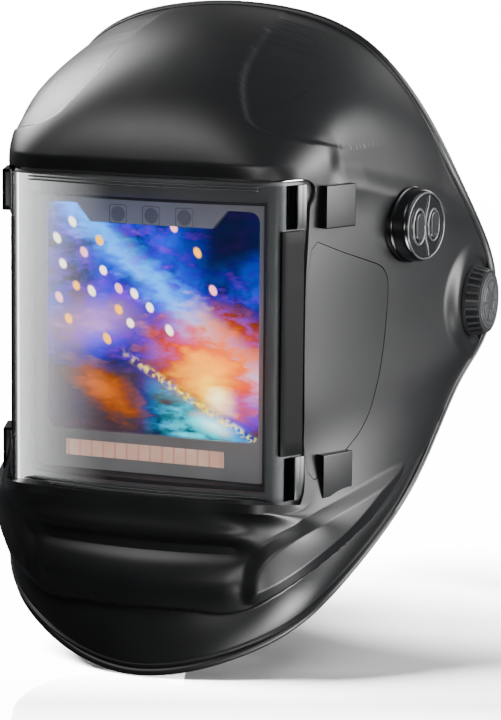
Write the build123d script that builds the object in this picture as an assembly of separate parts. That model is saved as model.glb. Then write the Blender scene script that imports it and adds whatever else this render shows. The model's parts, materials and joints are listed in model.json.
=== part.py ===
from build123d import *
import os
from math import cos, radians, sin, sqrt
import numpy as np

# Auto-darkening welding helmet. Millimetres, +Z up, the face looks along -Y and the
# wearer's left is +X. The origin is the middle of the axis on which the shell flips up.

# ---- shell ----
wall = 2.6                    # moulded shell thickness
flip_angle = 80.0             # how far the shell flips up
ear_x = 111.4                 # outer face of the round plateau under each tension knob
ear_inner_x = 106.4           # inner face of that plateau
ear_radius = 21.5             # top of the plateau
ear_foot_radius = 27.0        # where its sloping side meets the shell
ear_counterbore = 19.5        # flat floor that lets the knob turn

# ---- cover lens ----
lens_front_y = -150.0
lens_curve_radius = 296.0
lens_corner_radius = 8.0
lens_side_x = 71.0            # lens side line passes this X ...
lens_side_y = -137.0          # ... at this Y
lens_side_slope = 0.467       # sideways spread per millimetre going back
lens_thickness = 1.5
lens_top_z = 67.0
lens_bottom_z = -78.0
lens_ear_end_y = -127.5
lens_waist_x = 67.6
lens_ear_height = 20.0
panel_inset = 2.0             # window panel sits this far behind the lens face
panel_thickness = 2.5

# ---- window opening and filter cartridge ----
opening_half_width = 61.0
opening_top_z = 59.0
opening_bottom_z = -74.0
cartridge_half_width = 58.7
cartridge_top_z = 57.0
cartridge_bottom_z = -72.0
cartridge_front_y = -134.0
cartridge_rear_y = -122.0
bezel_depth = 3.5
view_half_width = 54.6
view_half_height = 53.6
sensor_bar_half_width = 31.0
sensor_bar_bottom_z = 45.0
sensor_spacing = 16.8
holder_gap = 0.3
holder_wall = 3.4

# ---- side windows: corner points seen from the side (Y, Z) ----
side_window_outline = [(-121, 40), (-86, 28.5), (-78, 23), (-75.5, 12), (-77, -12), (-84, -38),
                       (-102, -54), (-121, -55.5)]
pane_gap = 0.2
frame_lap = 4.0

# ---- raised pad on each side of the jaw ----
jaw_pad_rise = 2.4
jaw_pad_turn = 26.57          # degrees that the pad's outline plane is turned towards the side
# Corner points in that plane: sideways from the middle, and Z.
jaw_pad_outline = [(126, -69), (95, -79), (75, -86.7), (57.7, -98), (50, -107), (48.3, -118), (50, -128),
                   (59, -126), (76, -116), (104.7, -96), (126, -76)]

# ---- control pod ----
pod_y = -60.0
pod_z = 43.0
pod_tilt = 13.0               # degrees that the pod looks forward
pod_radius = 17.0
pod_height = 9.5              # above the shell
pod_depth = 4.5               # below the shell's outside
pod_wall = 1.6
button_travel = 1.2

# ---- pivots and tension knobs ----
stud_radius = 4.0
running_gap = 0.05
stud_end_x = 118.0
knob_base_x = 111.8
knob_height = 7.8
knob_radius = 17.5
knob_top_radius = 15.2
knob_ribs = 26
cap_radius = 13.6
cap_height = 1.2
insert_radius = 6.2

# ---- headgear, drawn level and then tipped up at the front ----
headgear_tilt = -20.0
band_half_width = 82.0
band_thickness = 2.0
band_front = 92.0
band_height = 30.0
band_straight = 15.0          # the sides are straight from here in front of the pivot ...
band_end = 45.0               # ... to here behind it
rear_reach = 98.0
rear_height = 22.0
crown_height = 104.0
crown_width = 20.0
rail_x = 95.0
rail_thickness = 3.4
rail_half_height = 9.0
carrier_slide = 8.0
slide_gap = 0.3

# ---- tilt stop between each carrier and the shell ----
stop_radius = 18.0
stop_pin_radius = 2.0
stop_rest_angle = 230.0       # degrees from +Y towards +Z
tilt_plate_x = 101.4
tilt_plate_thickness = 1.6

# Columns of the shell surface, from the top centre round the wearer's left side to the
# bottom centre. Each has its rim point, two handles that bend the profile, and the point
# where the shell meets the lens.
shell_columns = [
    [(0, -43, 143), (0, -87, 136), (0, -144, 117), (0, -152.5, 69.5)],
    [(36, -43, 139.5), (35.5, -82, 132), (36.5, -143, 113.5), (36, -151, 69.5)],
    [(62, -42.5, 130.5), (63, -76, 121.5), (65, -131, 103.5), (62, -145.5, 69.5)],
    [(81, -39, 115), (84.5, -70, 106.5), (84, -117, 92), (76, -129, 69)],
    [(96.5, -29, 90), (99, -58, 82.8), (89, -102, 71), (78.2, -122.3, 55)],
    [(106.7, -13, 60), (106, -47, 53), (90, -96, 40), (77.7, -123, 30)],
    [(111.9, 9, 32), (109.5, -30, 24), (91, -92, 13), (77.4, -123.3, 7)],
    [(114.4, 20.5, 6), (110.5, -22, -3), (91, -92, -11), (77.4, -123.3, -16)],
    [(113.1, 9, -20), (109.5, -27, -28), (91, -93, -32), (77.6, -123.2, -38)],
    [(106.8, -9, -40), (105, -43, -47), (92, -97, -52), (78, -123, -60)],
    [(102, -40, -72), (102, -66, -76), (93, -110, -77), (78, -130, -80.5)],
    [(96, -73.5, -98), (99, -92, -98), (91, -124, -93.5), (64, -147, -83)],
    [(83.5, -111, -124), (84, -126, -119), (70, -142, -101), (46, -150, -83)],
    [(56.5, -135.5, -147.5), (56, -143, -138), (42, -151, -108), (28, -152, -83)],
    [(0, -151.5, -162), (0, -154, -148), (0, -154, -112), (0, -152.7, -83)],
]


# ---------------------------------------------------------------- helpers

def spline_rows(points, steps):
    """Points on a smooth curve through the given ones, mirror-symmetric at both ends."""
    mirror = np.array([-1, 1, 1])
    inner = np.array(points, float)
    pad = 4
    extended = np.vstack([inner[pad:0:-1] * mirror, inner, inner[-2:-2 - pad:-1] * mirror])
    count = len(extended)
    beside = np.ones(count - 1)
    system = np.diag(np.full(count, 4.0)) + np.diag(beside, 1) + np.diag(beside, -1)
    slope_source = np.zeros_like(extended)
    slope_source[1:-1] = 3 * (extended[2:] - extended[:-2])
    slopes = np.linalg.solve(system, slope_source)
    rows = []
    for step in steps:
        position = step * (len(inner) - 1) + pad
        index = int(min(max(position, 0), count - 2))
        t = position - index
        a, b = extended[index], extended[index + 1]
        m, n = slopes[index], slopes[index + 1]
        rows.append((2 * t**3 - 3 * t**2 + 1) * a + (t**3 - 2 * t**2 + t) * m
                    + (3 * t**2 - 2 * t**3) * b + (t**3 - t**2) * n)
    return np.array(rows)


def shell_point_grid(across, along):
    """Outer shell points: round the rim (across) and from the rim to the lens (along)."""
    curves = [spline_rows([column[k] for column in shell_columns], across) for k in range(4)]
    grid = []
    for v in along:
        weights = [(1 - v)**3, 3 * v * (1 - v)**2, 3 * v**2 * (1 - v), v**3]
        grid.append(sum(w * c for w, c in zip(weights, curves)))
    return np.array(grid)


def inset_grid(depth, first, last):
    """The same grid moved inwards along its normals, for the columns from first to last."""
    grid = shell_point_grid(np.linspace(first, last, 46), np.linspace(0, 1, 15))
    along_v = np.gradient(grid, axis=0)
    along_u = np.gradient(grid, axis=1)
    normal = np.cross(along_u, along_v)
    normal = normal / np.linalg.norm(normal, axis=2, keepdims=True)
    if normal[7, 22, 0] < 0:
        normal = -normal
    return grid - depth * normal


def thick_skin(depth, thickness, first=-0.03, last=1.03):
    """One half of a shell-shaped skin: starts `depth` below the outside, runs past the centre plane."""
    points = inset_grid(depth, first, last)
    face = Face.make_surface_from_array_of_points(
        [[tuple(float(c) for c in p) for p in row] for row in points], tol=0.02)
    middle = points[7, 22]
    solid = Solid.thicken(face, thickness, normal_override=(-1, 0, 0))
    if solid.bounding_box().max.X > points[:, :, 0].max() + thickness / 2:
        solid = Solid.thicken(face, -thickness, normal_override=(-1, 0, 0))
    return solid & box(0, 400, middle[1] - 400, middle[1] + 400, -400, 400)


def box(x0, x1, y0, y1, z0, z1):
    """A block given by its lowest and highest corners."""
    size = (abs(x1 - x0), abs(y1 - y0), abs(z1 - z0))
    return Pos((x0 + x1) / 2, (y0 + y1) / 2, (z0 + z1) / 2) * Box(*size)


def rod_x(radius, x0, x1, y=0.0, z=0.0):
    """A rod along X."""
    return Pos((x0 + x1) / 2, y, z) * Rot(0, 90, 0) * Cylinder(radius, abs(x1 - x0))


def rod_y(radius, y0, y1, x=0.0, z=0.0):
    """A rod along Y."""
    return Pos(x, (y0 + y1) / 2, z) * Rot(90, 0, 0) * Cylinder(radius, abs(y1 - y0))


def rod_z(radius, z0, z1, x=0.0, y=0.0):
    """A rod along Z."""
    return Pos(x, y, (z0 + z1) / 2) * Cylinder(radius, abs(z1 - z0))


def mirrored(solid):
    """The same piece on the wearer's other side."""
    return mirror(solid, about=Plane.YZ)


def both_sides(solid):
    """A piece and its mirror image."""
    return solid + mirrored(solid)


def lens_block(inset, z0, z1, back_y=-110.0):
    """Solid whose front follows the lens: a shallow arc, round corners, spreading sides."""
    front_y = lens_front_y - 10
    shift = inset * sqrt(1 + lens_side_slope**2)
    front_x = lens_side_x + (front_y - lens_side_y) * lens_side_slope - shift
    back_x = lens_side_x + (back_y - lens_side_y) * lens_side_slope - shift
    sides = Polygon((-front_x, front_y), (front_x, front_y), (back_x, back_y), (-back_x, back_y), align=None)
    arc = Pos(0, lens_front_y + lens_curve_radius) * Circle(lens_curve_radius - inset)
    outline = sides & arc
    corners = outline.vertices().sort_by(Axis.Y)[:2]
    outline = fillet(corners, lens_corner_radius - inset)
    return Pos(0, 0, z0) * extrude(outline, z1 - z0, dir=(0, 0, 1))


def lens_skin(inset, thickness, z0, z1, back_y=-110.0):
    """A curved plate that follows the lens."""
    hollow = lens_block(inset + thickness, z0 - 1, z1 + 1, back_y + 1)
    return lens_block(inset, z0, z1, back_y) - hollow


def side_prism(points, x0, x1, inset=0.0):
    """A prism along X from an outline seen from the side, corners rounded."""
    outline = Polyline(*[(y, z) for y, z in points], close=True)
    face = make_face(Plane.YZ * outline)
    if inset:
        face = offset(face, -inset, kind=Kind.ARC)
    return Pos(x0, 0, 0) * extrude(face, x1 - x0, dir=(1, 0, 0))


def jaw_pad_prism():
    """Everything behind the jaw pad's outline, in the direction that the pad faces."""
    turn = radians(jaw_pad_turn)
    facing = Vector(sin(turn), -cos(turn), 0)
    start = Vector(0, lens_front_y, 0) + 100 * facing
    outline = Plane(origin=start, x_dir=(cos(turn), sin(turn), 0), z_dir=facing) * Polyline(
        *jaw_pad_outline, close=True)
    return extrude(make_face(outline), 200, dir=-facing)


def half_band(radius_x, radius_y, centre_y, straight_to, thickness, height, front):
    """A U-shaped strap: straight sides and half an ellipse, standing on edge."""
    def solid(rx, ry):
        ellipse = Pos(0, centre_y) * Ellipse(rx, ry)
        low, high = sorted((centre_y, straight_to))
        sides = Pos(0, (low + high) / 2) * Rectangle(2 * rx, high - low)
        return extrude(ellipse + sides, height / 2, both=True)
    ring = solid(radius_x, radius_y) - solid(radius_x - thickness, radius_y - thickness)
    far = 400
    if front:
        keep = box(-far, far, -far, straight_to - 0.01, -far, far)
    else:
        keep = box(-far, far, straight_to + 0.01, far, -far, far)
    return ring & keep


def tipped(solid):
    """Headgear is drawn level, then tipped up at the front about the pivot axis."""
    return Rot(headgear_tilt, 0, 0) * solid


def surface_x(y, z):
    """X of the shell's outside at a given place on the wearer's left flank."""
    grid = shell_point_grid(np.linspace(0.2, 0.8, 181), np.linspace(0, 1, 121)).reshape(-1, 3)
    nearest = np.argmin((grid[:, 1] - y)**2 + (grid[:, 2] - z)**2)
    return float(grid[nearest, 0])


def write(name, solid):
    """One STEP file per piece."""
    export_step(solid, f"parts/{name}.step")


os.makedirs("parts", exist_ok=True)

# ---------------------------------------------------------------- shell

half_skin = thick_skin(0.0, wall)
ear_height = ear_x - ear_inner_x
ear = Pos(ear_inner_x + ear_height / 2, 0, 0) * Rot(0, 90, 0) * Cone(ear_foot_radius, ear_radius, ear_height)
jaw_pad = thick_skin(-jaw_pad_rise, jaw_pad_rise + 1.0, 0.5, 1.03) & jaw_pad_prism()
half_shell = half_skin + ear + jaw_pad

aperture_x0 = 60.0
aperture_x1 = 130.0
aperture = side_prism(side_window_outline, aperture_x0, aperture_x1)
pane_prism = side_prism(side_window_outline, aperture_x0, aperture_x1, pane_gap)
half_pane = half_skin & pane_prism
frame_outer = side_prism(side_window_outline, aperture_x0, aperture_x1, -frame_lap)
frame_inner = side_prism(side_window_outline, aperture_x0, aperture_x1, frame_lap)
half_frame = thick_skin(wall + 0.05, 1.8, 0.2, 0.8) & (frame_outer - frame_inner)
half_frame = half_frame - lens_block(panel_inset, lens_bottom_z - 10, lens_top_z + 10)
half_frame = half_frame.solids().sort_by(SortBy.VOLUME)[-1]
panel = lens_skin(panel_inset, panel_thickness, lens_bottom_z - 5, lens_top_z + 5, -117)
panel = panel - box(-opening_half_width, opening_half_width, -160, -125, opening_bottom_z, opening_top_z)
brow_fill = lens_skin(-0.8, panel_inset + panel_thickness + 0.8, lens_top_z + 0.4, lens_top_z + 5, -122)
chin_fill = lens_skin(-0.8, panel_inset + panel_thickness + 0.8, lens_bottom_z - 8.0,
                      lens_bottom_z - 0.4, -122)
waist_low = lens_bottom_z + lens_ear_height + 0.5
waist_high = lens_top_z - lens_ear_height - 0.5
pillar = lens_skin(0.0, panel_inset + 0.5, waist_low, waist_high, -128.5)
pillar = pillar & both_sides(box(lens_waist_x + 0.5, 90, -160, -100, -90, 90))
brow_fill_half_width = 66.0
chin_fill_half_width = 61.0
brow_fill_reach = box(-brow_fill_half_width, brow_fill_half_width, -170, -100, 0, 100)
chin_fill_reach = box(-chin_fill_half_width, chin_fill_half_width, -170, -100, -100, 0)


def catch_block(z0, z1, margin=0.0):
    """Moulded block behind each ear of the cover lens, or a larger one to cut its neighbours with."""
    block = Box(7.5 + 2 * margin, 23 + 2 * margin, z1 - z0 + 2 * margin)
    block = fillet(block.edges().filter_by(Axis.Z), 2.0)
    return Pos(81.6, -111.0, (z0 + z1) / 2) * Rot(0, 0, -21.4) * block


shell = half_shell + mirrored(half_shell)
shell = shell + panel
shell = shell + (brow_fill & brow_fill_reach)
shell = shell + (chin_fill & chin_fill_reach)
shell = shell + pillar
shell = shell - both_sides(aperture)
catch_heights = ((lens_top_z - 20, lens_top_z - 1), (lens_bottom_z, lens_bottom_z + 20))
for z0, z1 in catch_heights:
    shell = shell + catch_block(z0, z1)
    shell = shell + mirrored(catch_block(z0, z1))
    half_frame = half_frame - catch_block(z0, z1, 0.2)
half_frame = half_frame.solids().sort_by(SortBy.VOLUME)[-1]

# The control pod sits in a round hole on the wearer's left.
pod_x = surface_x(pod_y, pod_z)
pod_place = Pos(pod_x, pod_y, pod_z) * Rot(0, 0, -pod_tilt) * Rot(0, 90, 0)
pod_hole = pod_place * Cylinder(pod_radius + 0.1, 40)

shell = shell - pod_hole
pivot_cut = rod_x(stud_radius + running_gap, 90, 130) + rod_x(ear_counterbore, ear_x, 130)
pin_y = stop_radius * cos(radians(stop_rest_angle))
pin_z = stop_radius * sin(radians(stop_rest_angle))
pin_start_x = tilt_plate_x + 0.3
stop_pin = rod_x(stop_pin_radius, pin_start_x, ear_inner_x + 1, pin_y, pin_z)
shell = shell - both_sides(pivot_cut) + both_sides(stop_pin)
screw_x = 40.0
screw_places = [(sx * screw_x, z) for sx in (-1, 1) for z in (opening_top_z + 5.5, opening_bottom_z - 6.0)]
screw_radius = 1.5
for x, z in screw_places:
    shell = shell - rod_y(screw_radius, -144.2, -130, x, z)
write("shell", shell)
write("side_window_left", half_pane)
write("side_window_right", mirrored(half_pane))
write("window_frame_left", half_frame)
write("window_frame_right", mirrored(half_frame))

# ---------------------------------------------------------------- cover lens

lens = lens_skin(0.0, lens_thickness, lens_bottom_z, lens_top_z, -115)
lens = lens - box(-120, 120, lens_ear_end_y, -100, -100, 100)
lens = lens - both_sides(box(lens_waist_x, 120, -160, -100, waist_low - 0.5, waist_high + 0.5))
write("cover_lens", lens)

# ---------------------------------------------------------------- filter cartridge

bezel = box(-cartridge_half_width, cartridge_half_width, cartridge_front_y, cartridge_front_y + bezel_depth,
            cartridge_bottom_z, cartridge_top_z)
view = box(-view_half_width, view_half_width, -140, -120, -view_half_height, view_half_height)
view = fillet(view.edges().filter_by(Axis.Y), 5.0)
bar_top_half_width = sensor_bar_half_width + 8.0
bar_points = [(-bar_top_half_width, view_half_height + 1), (bar_top_half_width, view_half_height + 1),
              (sensor_bar_half_width, sensor_bar_bottom_z), (-sensor_bar_half_width, sensor_bar_bottom_z)]
bar_outline = make_face(Plane.XZ * Polyline(*bar_points, close=True))
sensor_bar = Pos(0, -140, 0) * extrude(bar_outline, 20, dir=(0, 1, 0))
view = view - sensor_bar
solar_x = (-43.5, 37.5)
solar_z = (-66.0, -58.5)
sensor_z = (view_half_height + sensor_bar_bottom_z) / 2
bezel = fillet(bezel.edges().filter_by(Axis.Y), 4.0) - view
bezel = bezel - box(*solar_x, -140, cartridge_front_y + 2, *solar_z)
sensors = None
for index in (-1, 0, 1):
    sensor_x = index * sensor_spacing
    bezel = bezel - rod_y(3.6, -140, -129, sensor_x, sensor_z)
    sensor = rod_y(3.6, cartridge_front_y + 0.6, cartridge_front_y + bezel_depth, sensor_x, sensor_z)
    sensors = sensor if sensors is None else sensors + sensor
write("adf_bezel", bezel)
write("arc_sensors", sensors)
solar_cell = box(*solar_x, cartridge_front_y, cartridge_front_y + 2, *solar_z)
write("solar_cell", solar_cell)

cover_front_y = cartridge_front_y + bezel_depth
cover_wall = 1.5
cover = box(-cartridge_half_width, cartridge_half_width, cover_front_y, cartridge_rear_y,
            cartridge_bottom_z, cartridge_top_z)
cover = fillet(cover.edges().filter_by(Axis.Y), 4.0)
pocket = box(-cartridge_half_width + cover_wall, cartridge_half_width - cover_wall, cover_front_y,
             cartridge_rear_y - 2, cartridge_bottom_z + cover_wall, cartridge_top_z - cover_wall)
rear_view = box(-50, 50, -126, -120, -47, 46)
cover = cover - pocket - fillet(rear_view.edges().filter_by(Axis.Y), 4.0)
glass_depth = 3.5
filter_glass = box(-57, 57, cover_front_y, cover_front_y + glass_depth, -55, 55.3)
write("filter_glass", filter_glass)

# A coin cell rides in a drawer that pulls down out of the cartridge.
drawer_x = (20.0, 36.0)
drawer_y = (-128.6, -124.4)
drawer_top_z = -57.6
drawer_gap = 0.3
drawer_lip_z = cartridge_bottom_z - 1.4
cell_radius = 6.25
drawer = box(*drawer_x, *drawer_y, cartridge_bottom_z, drawer_top_z)
drawer = drawer + box(drawer_x[0], drawer_x[1], drawer_y[0], drawer_y[1], drawer_lip_z, cartridge_bottom_z)
cell_x = sum(drawer_x) / 2
cell_z = -65.2
drawer = drawer - rod_y(cell_radius + 0.1, -127.4, -120, cell_x, cell_z)
write("battery_drawer", drawer)
write("coin_cell", rod_y(cell_radius, -127.3, -124.8, cell_x, cell_z))
drawer_slot = box(drawer_x[0] - drawer_gap, drawer_x[1] + drawer_gap, drawer_y[0] - drawer_gap,
                  drawer_y[1] + drawer_gap, -90, drawer_top_z + 1)

# Three menu buttons on the inside face of the cartridge.
menu_radius = 4.0
menu_x = [-38.0, -24.0, -10.0]
menu_z = -64.5
for index, x in enumerate(menu_x):
    cover = cover - rod_y(menu_radius + 0.3, -125, -121, x, menu_z)
    cap = rod_y(menu_radius, cartridge_rear_y - 2.4, cartridge_rear_y + 1.6, x, menu_z)
    write(f"menu_button_{index + 1}", fillet(cap.edges().sort_by(Axis.Y)[-1:], 0.6))
cover = cover - drawer_slot
write("adf_rear_cover", cover)
board_y = -129.4
board = box(-50, 16, board_y, board_y + 1.2, -69.5, -57.0)
write("adf_board", board)
write("inner_lens", box(-55, 55, cartridge_rear_y + 0.2, cartridge_rear_y + 1.2, -53, 49))
gland_x = 50.0
gland = rod_y(2.6, cartridge_rear_y, cartridge_rear_y + 5, gland_x, menu_z)
write("adf_gland", gland - rod_y(1.3, -125, -110, gland_x, menu_z))

# ---------------------------------------------------------------- cartridge holder and latch

inner_half = cartridge_half_width + holder_gap
outer_half = inner_half + holder_wall
ring_top = cartridge_top_z + holder_gap
ring_bottom = cartridge_bottom_z - holder_gap
behind_panel = lens_block(panel_inset + panel_thickness, -100, 100)
holder = box(-outer_half, outer_half, -146, cartridge_rear_y,
             ring_bottom - holder_wall, ring_top + holder_wall)
tab_height = 10.0
for x, z in screw_places:
    holder = holder + box(x - 6, x + 6, -146, -138.5, z - tab_height / 2, z + tab_height / 2)
holder = holder - box(-inner_half, inner_half, -150, -110, ring_bottom, ring_top)
latch_z = ring_top + holder_wall + 2.6
latch_y = cartridge_rear_y + 2.6
latch_half_width = 12.0
latch_pin_radius = 1.2
for sx in (-1, 1):
    lug = box(sx * (latch_half_width + 0.4), sx * (latch_half_width + 3.4), cartridge_rear_y - 6,
              latch_y + 2.6, ring_top + 1, latch_z + 2.6)
    holder = holder + lug
holder = holder & behind_panel
holder = holder - rod_x(latch_pin_radius + running_gap, -30, 30, latch_y, latch_z) - drawer_slot
for x, z in screw_places:
    holder = holder - rod_y(screw_radius, -150, -130, x, z)
write("adf_holder", holder)
screws = None
for x, z in screw_places:
    screw = rod_y(screw_radius, -144.1, -138.5, x, z) + rod_y(2.8, -138.5, -136.8, x, z)
    screws = screw if screws is None else screws + screw
write("holder_screws", screws)

latch = rod_x(2.2, -latch_half_width, latch_half_width, latch_y, latch_z)
latch = latch + rod_x(latch_pin_radius, -latch_half_width - 3.2, latch_half_width + 3.2, latch_y, latch_z)
latch = latch + box(-latch_half_width, latch_half_width, cartridge_rear_y + 0.4, cartridge_rear_y + 2.4,
                    52, latch_z)
latch = latch + box(-6, 6, cartridge_rear_y + 2.4, cartridge_rear_y + 7, 52, 54)
write("adf_latch", latch)

# ---------------------------------------------------------------- control pod

pod_body = Pos(0, 0, (pod_height - pod_depth) / 2) * Cylinder(pod_radius, pod_height + pod_depth)
pod_body = fillet(pod_body.edges().sort_by(Axis.Z)[-1:], 2.4)
pod_top = pod_height
face_thickness = 1.4
face_radius = pod_radius - pod_wall - 0.9
room_height = pod_top + pod_depth - pod_wall + 0.01
room_radius = pod_radius - pod_wall - 1.6
pod_room = Pos(0, 0, (pod_top - pod_depth + pod_wall) / 2) * Cylinder(room_radius, room_height)
seat_z = pod_top - face_thickness
face_seat = Pos(0, 0, seat_z + 2) * Cylinder(face_radius, 4)
lead_hole = Pos(0, 0, -pod_depth) * Cylinder(2.6, 6)
write("pod_housing", pod_place * (pod_body - pod_room - face_seat - lead_hole))

# Pod directions: local X runs down the shell, local Y runs towards the back.
button_half_length = 6.6
button_half_width = 3.4
button_places = {"mode_button": -6.2, "grind_button": 6.2}


def oval(half_length, half_width, height, base):
    """An oval key, long way up and down."""
    outline = SlotOverall(2 * half_length, 2 * half_width)
    return Pos(0, 0, base) * extrude(outline, height, dir=(0, 0, 1))


faceplate = Pos(0, 0, seat_z) * extrude(Circle(face_radius - 0.05), face_thickness, dir=(0, 0, 1))
button_base = seat_z - 2.6
button_rise = 5.4
for name, offset_y in button_places.items():
    hole = Pos(0, offset_y, 0) * oval(button_half_length + 0.3, button_half_width + 0.3, 12, seat_z - 4)
    faceplate = faceplate - hole
    key = Pos(0, offset_y, 0) * oval(button_half_length, button_half_width, button_rise, button_base)
    key = fillet(key.edges().sort_by(Axis.Z)[-4:], 0.9)
    write(name, pod_place * key)
write("pod_faceplate", pod_place * faceplate)
pod_board = Pos(0, 0, button_base - button_travel - 1.6) * Cylinder(pod_radius - pod_wall - 1.9, 1.2)
write("pod_board", pod_place * pod_board)
pod_gland = Pos(0, 0, -pod_depth - 2) * (Cylinder(2.55, 7) - Cylinder(1.2, 8))
write("pod_gland", pod_place * pod_gland)

# ---------------------------------------------------------------- pivots and tension knobs

rail_outer_x = rail_x + rail_thickness
keeper_x = (rail_x - slide_gap - 2.7, rail_x - slide_gap)
flange_x = (rail_outer_x + slide_gap, tilt_plate_x)
neck_half_length = 7.0
neck_half_height = 4.5
slot_half_length = neck_half_length + carrier_slide + slide_gap
slot_half_height = neck_half_height + slide_gap


def carrier():
    """Slider with an outer flange and a neck that runs in the rail's slot."""
    flange = box(*flange_x, -12, 12, -11, 11)
    flange = fillet(flange.edges().filter_by(Axis.X), 4.0)
    neck = box(keeper_x[1], flange_x[0], -neck_half_length, neck_half_length,
               -neck_half_height, neck_half_height)
    return tipped(flange + neck) - rod_x(stud_radius, 80, 130)


def keeper():
    """Plate on the inner side of the rail that holds the slider in its slot."""
    plate = box(*keeper_x, -10.5, 10.5, -7.5, 7.5)
    plate = fillet(plate.edges().filter_by(Axis.X), 2.5)
    return tipped(plate) - rod_x(stud_radius, 80, 130)


def stud():
    """Threaded pivot stud with a flat head inside the keeper."""
    return rod_x(stud_radius, keeper_x[0], stud_end_x) + rod_x(6.0, keeper_x[0] - 2, keeper_x[0])


def tilt_plate():
    """Disc with a curved slot that stops the shell at each end of its travel."""
    disc_radius = 21.5
    disc = rod_x(disc_radius, tilt_plate_x, tilt_plate_x + tilt_plate_thickness)
    slot_half_width = stop_pin_radius + 0.3
    clearance = 1.5
    sweep = flip_angle + 2 * clearance
    outer = Circle(stop_radius + slot_half_width)
    inner = Circle(stop_radius - slot_half_width)
    start = stop_rest_angle - flip_angle - clearance
    far = 3 * disc_radius
    wedge_points = [(0, 0)]
    for part in range(5):
        angle = radians(start + sweep * part / 4)
        wedge_points.append((far * cos(angle), far * sin(angle)))
    wedge = make_face(Polyline(*wedge_points, close=True))
    slot = (outer - inner) & wedge
    for angle in (start, start + sweep):
        centre = (stop_radius * cos(radians(angle)), stop_radius * sin(radians(angle)))
        slot = slot + Pos(*centre) * Circle(slot_half_width)
    # The drawing's X and Y become the helmet's Y and Z.
    placed = Plane(origin=(tilt_plate_x - 1, 0, 0), x_dir=(0, 1, 0), z_dir=(1, 0, 0)) * slot
    cut = extrude(placed, tilt_plate_thickness + 4, dir=(1, 0, 0))
    return disc - cut - rod_x(stud_radius, 80, 130)


def knob():
    """Ribbed tension knob with a thin base flange and a recess for its cap."""
    flange = rod_x(knob_radius, knob_base_x, knob_base_x + 1.2)
    barrel_height = knob_height - 1.2
    barrel = Pos(knob_base_x + 1.2 + barrel_height / 2, 0, 0) * Rot(0, 90, 0) * Cone(
        knob_radius - 0.9, knob_top_radius, barrel_height)
    grooves = None
    for rib in range(knob_ribs):
        angle = 360 / knob_ribs * rib
        groove = Rot(angle, 0, 0) * rod_x(1.0, knob_base_x + 2.0, 130, 0, knob_radius - 0.7)
        grooves = groove if grooves is None else grooves + groove
    body = flange + (barrel - grooves)
    body = body - rod_x(insert_radius, 100, stud_end_x + 0.6)
    return body - rod_x(cap_radius, knob_base_x + knob_height - 0.6, 140)


washer = rod_x(11.0, tilt_plate_x + tilt_plate_thickness, ear_inner_x - 0.3) - rod_x(stud_radius, 80, 130)
insert = rod_x(insert_radius, knob_base_x, stud_end_x + 0.6) - rod_x(stud_radius + running_gap, 100, 130)
cap_x0 = knob_base_x + knob_height - 0.6
knob_cap = fillet(rod_x(cap_radius, cap_x0, cap_x0 + cap_height).edges().sort_by(Axis.X)[-1:], 0.5)
for side, place in (("left", lambda s: s), ("right", mirrored)):
    write(f"carrier_{side}", place(carrier()))
    write(f"carrier_keeper_{side}", place(keeper()))
    write(f"pivot_stud_{side}", place(stud()))
    write(f"tilt_plate_{side}", place(tilt_plate()))
    write(f"friction_washer_{side}", place(washer))
    write(f"tension_knob_{side}", place(knob()))
    write(f"knob_insert_{side}", place(insert))
    write(f"knob_cap_{side}", place(knob_cap))

# ---------------------------------------------------------------- headgear

front_band = half_band(band_half_width, band_front - band_straight, -band_straight, band_end,
                       band_thickness, band_height, True)
# Slots lighten the sides and take the crown straps' pegs.
for y in (-8.0, 8.0):
    front_band = front_band - both_sides(rod_x(2.0, 70, 90, y, 11.5))
leg_x = band_half_width
front_band_inside = Pos(0, -band_straight) * Ellipse(band_half_width, band_front - band_straight)
front_band_inside = extrude(front_band_inside, 60, both=True)
rail_points = [(leg_x - 1, -40), (rail_outer_x, -26), (rail_outer_x, 26), (leg_x + 3, band_end - 11.5),
               (leg_x + 3, band_end - 1), (leg_x, band_end - 1), (leg_x, band_end - 14), (rail_x, 23.5),
               (rail_x, -23.5), (leg_x - 1, -36)]
rail = Pos(0, 0, -rail_half_height) * extrude(make_face(Polyline(*rail_points, close=True)),
                                              2 * rail_half_height, dir=(0, 0, 1))
rail = rail - front_band_inside
rail = rail - box(0, leg_x, -80, 80, -30, 30)
slot_cut = box(rail_x - 2, rail_outer_x + 2, -slot_half_length, slot_half_length,
               -slot_half_height, slot_half_height)
rail = rail - slot_cut
rivet_y = band_end - 5.0
rivets = None
for z in (-5.0, 5.0):
    rail = rail - rod_x(1.5, 70, 95, rivet_y, z)
    front_band = front_band - both_sides(rod_x(1.5, 70, 95, rivet_y, z))
    rivet = rod_x(1.5, leg_x - band_thickness, leg_x + 3, rivet_y, z)
    rivet = rivet + rod_x(3.0, leg_x + 3, leg_x + 4.2, rivet_y, z)
    rivets = rivet if rivets is None else rivets + rivet
write("front_band", tipped(front_band))
write("side_rail_left", tipped(rail))
write("side_rail_right", mirrored(tipped(rail)))
write("rail_rivets", tipped(both_sides(rivets)))

band_top_z = 11.5
crown_rise = crown_height - band_top_z


def arch(radius_x, height, thickness, width):
    """A strap that arches over the head from side to side."""
    def solid(rx, rz):
        ellipse = Ellipse(rx, rz) & (Pos(0, rz / 2) * Rectangle(2 * rx, rz))
        return extrude(Plane.XZ * ellipse, width / 2, both=True)
    ring = solid(radius_x, height) - solid(radius_x - thickness, height - thickness)
    return Pos(0, 0, band_top_z) * ring


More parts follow.
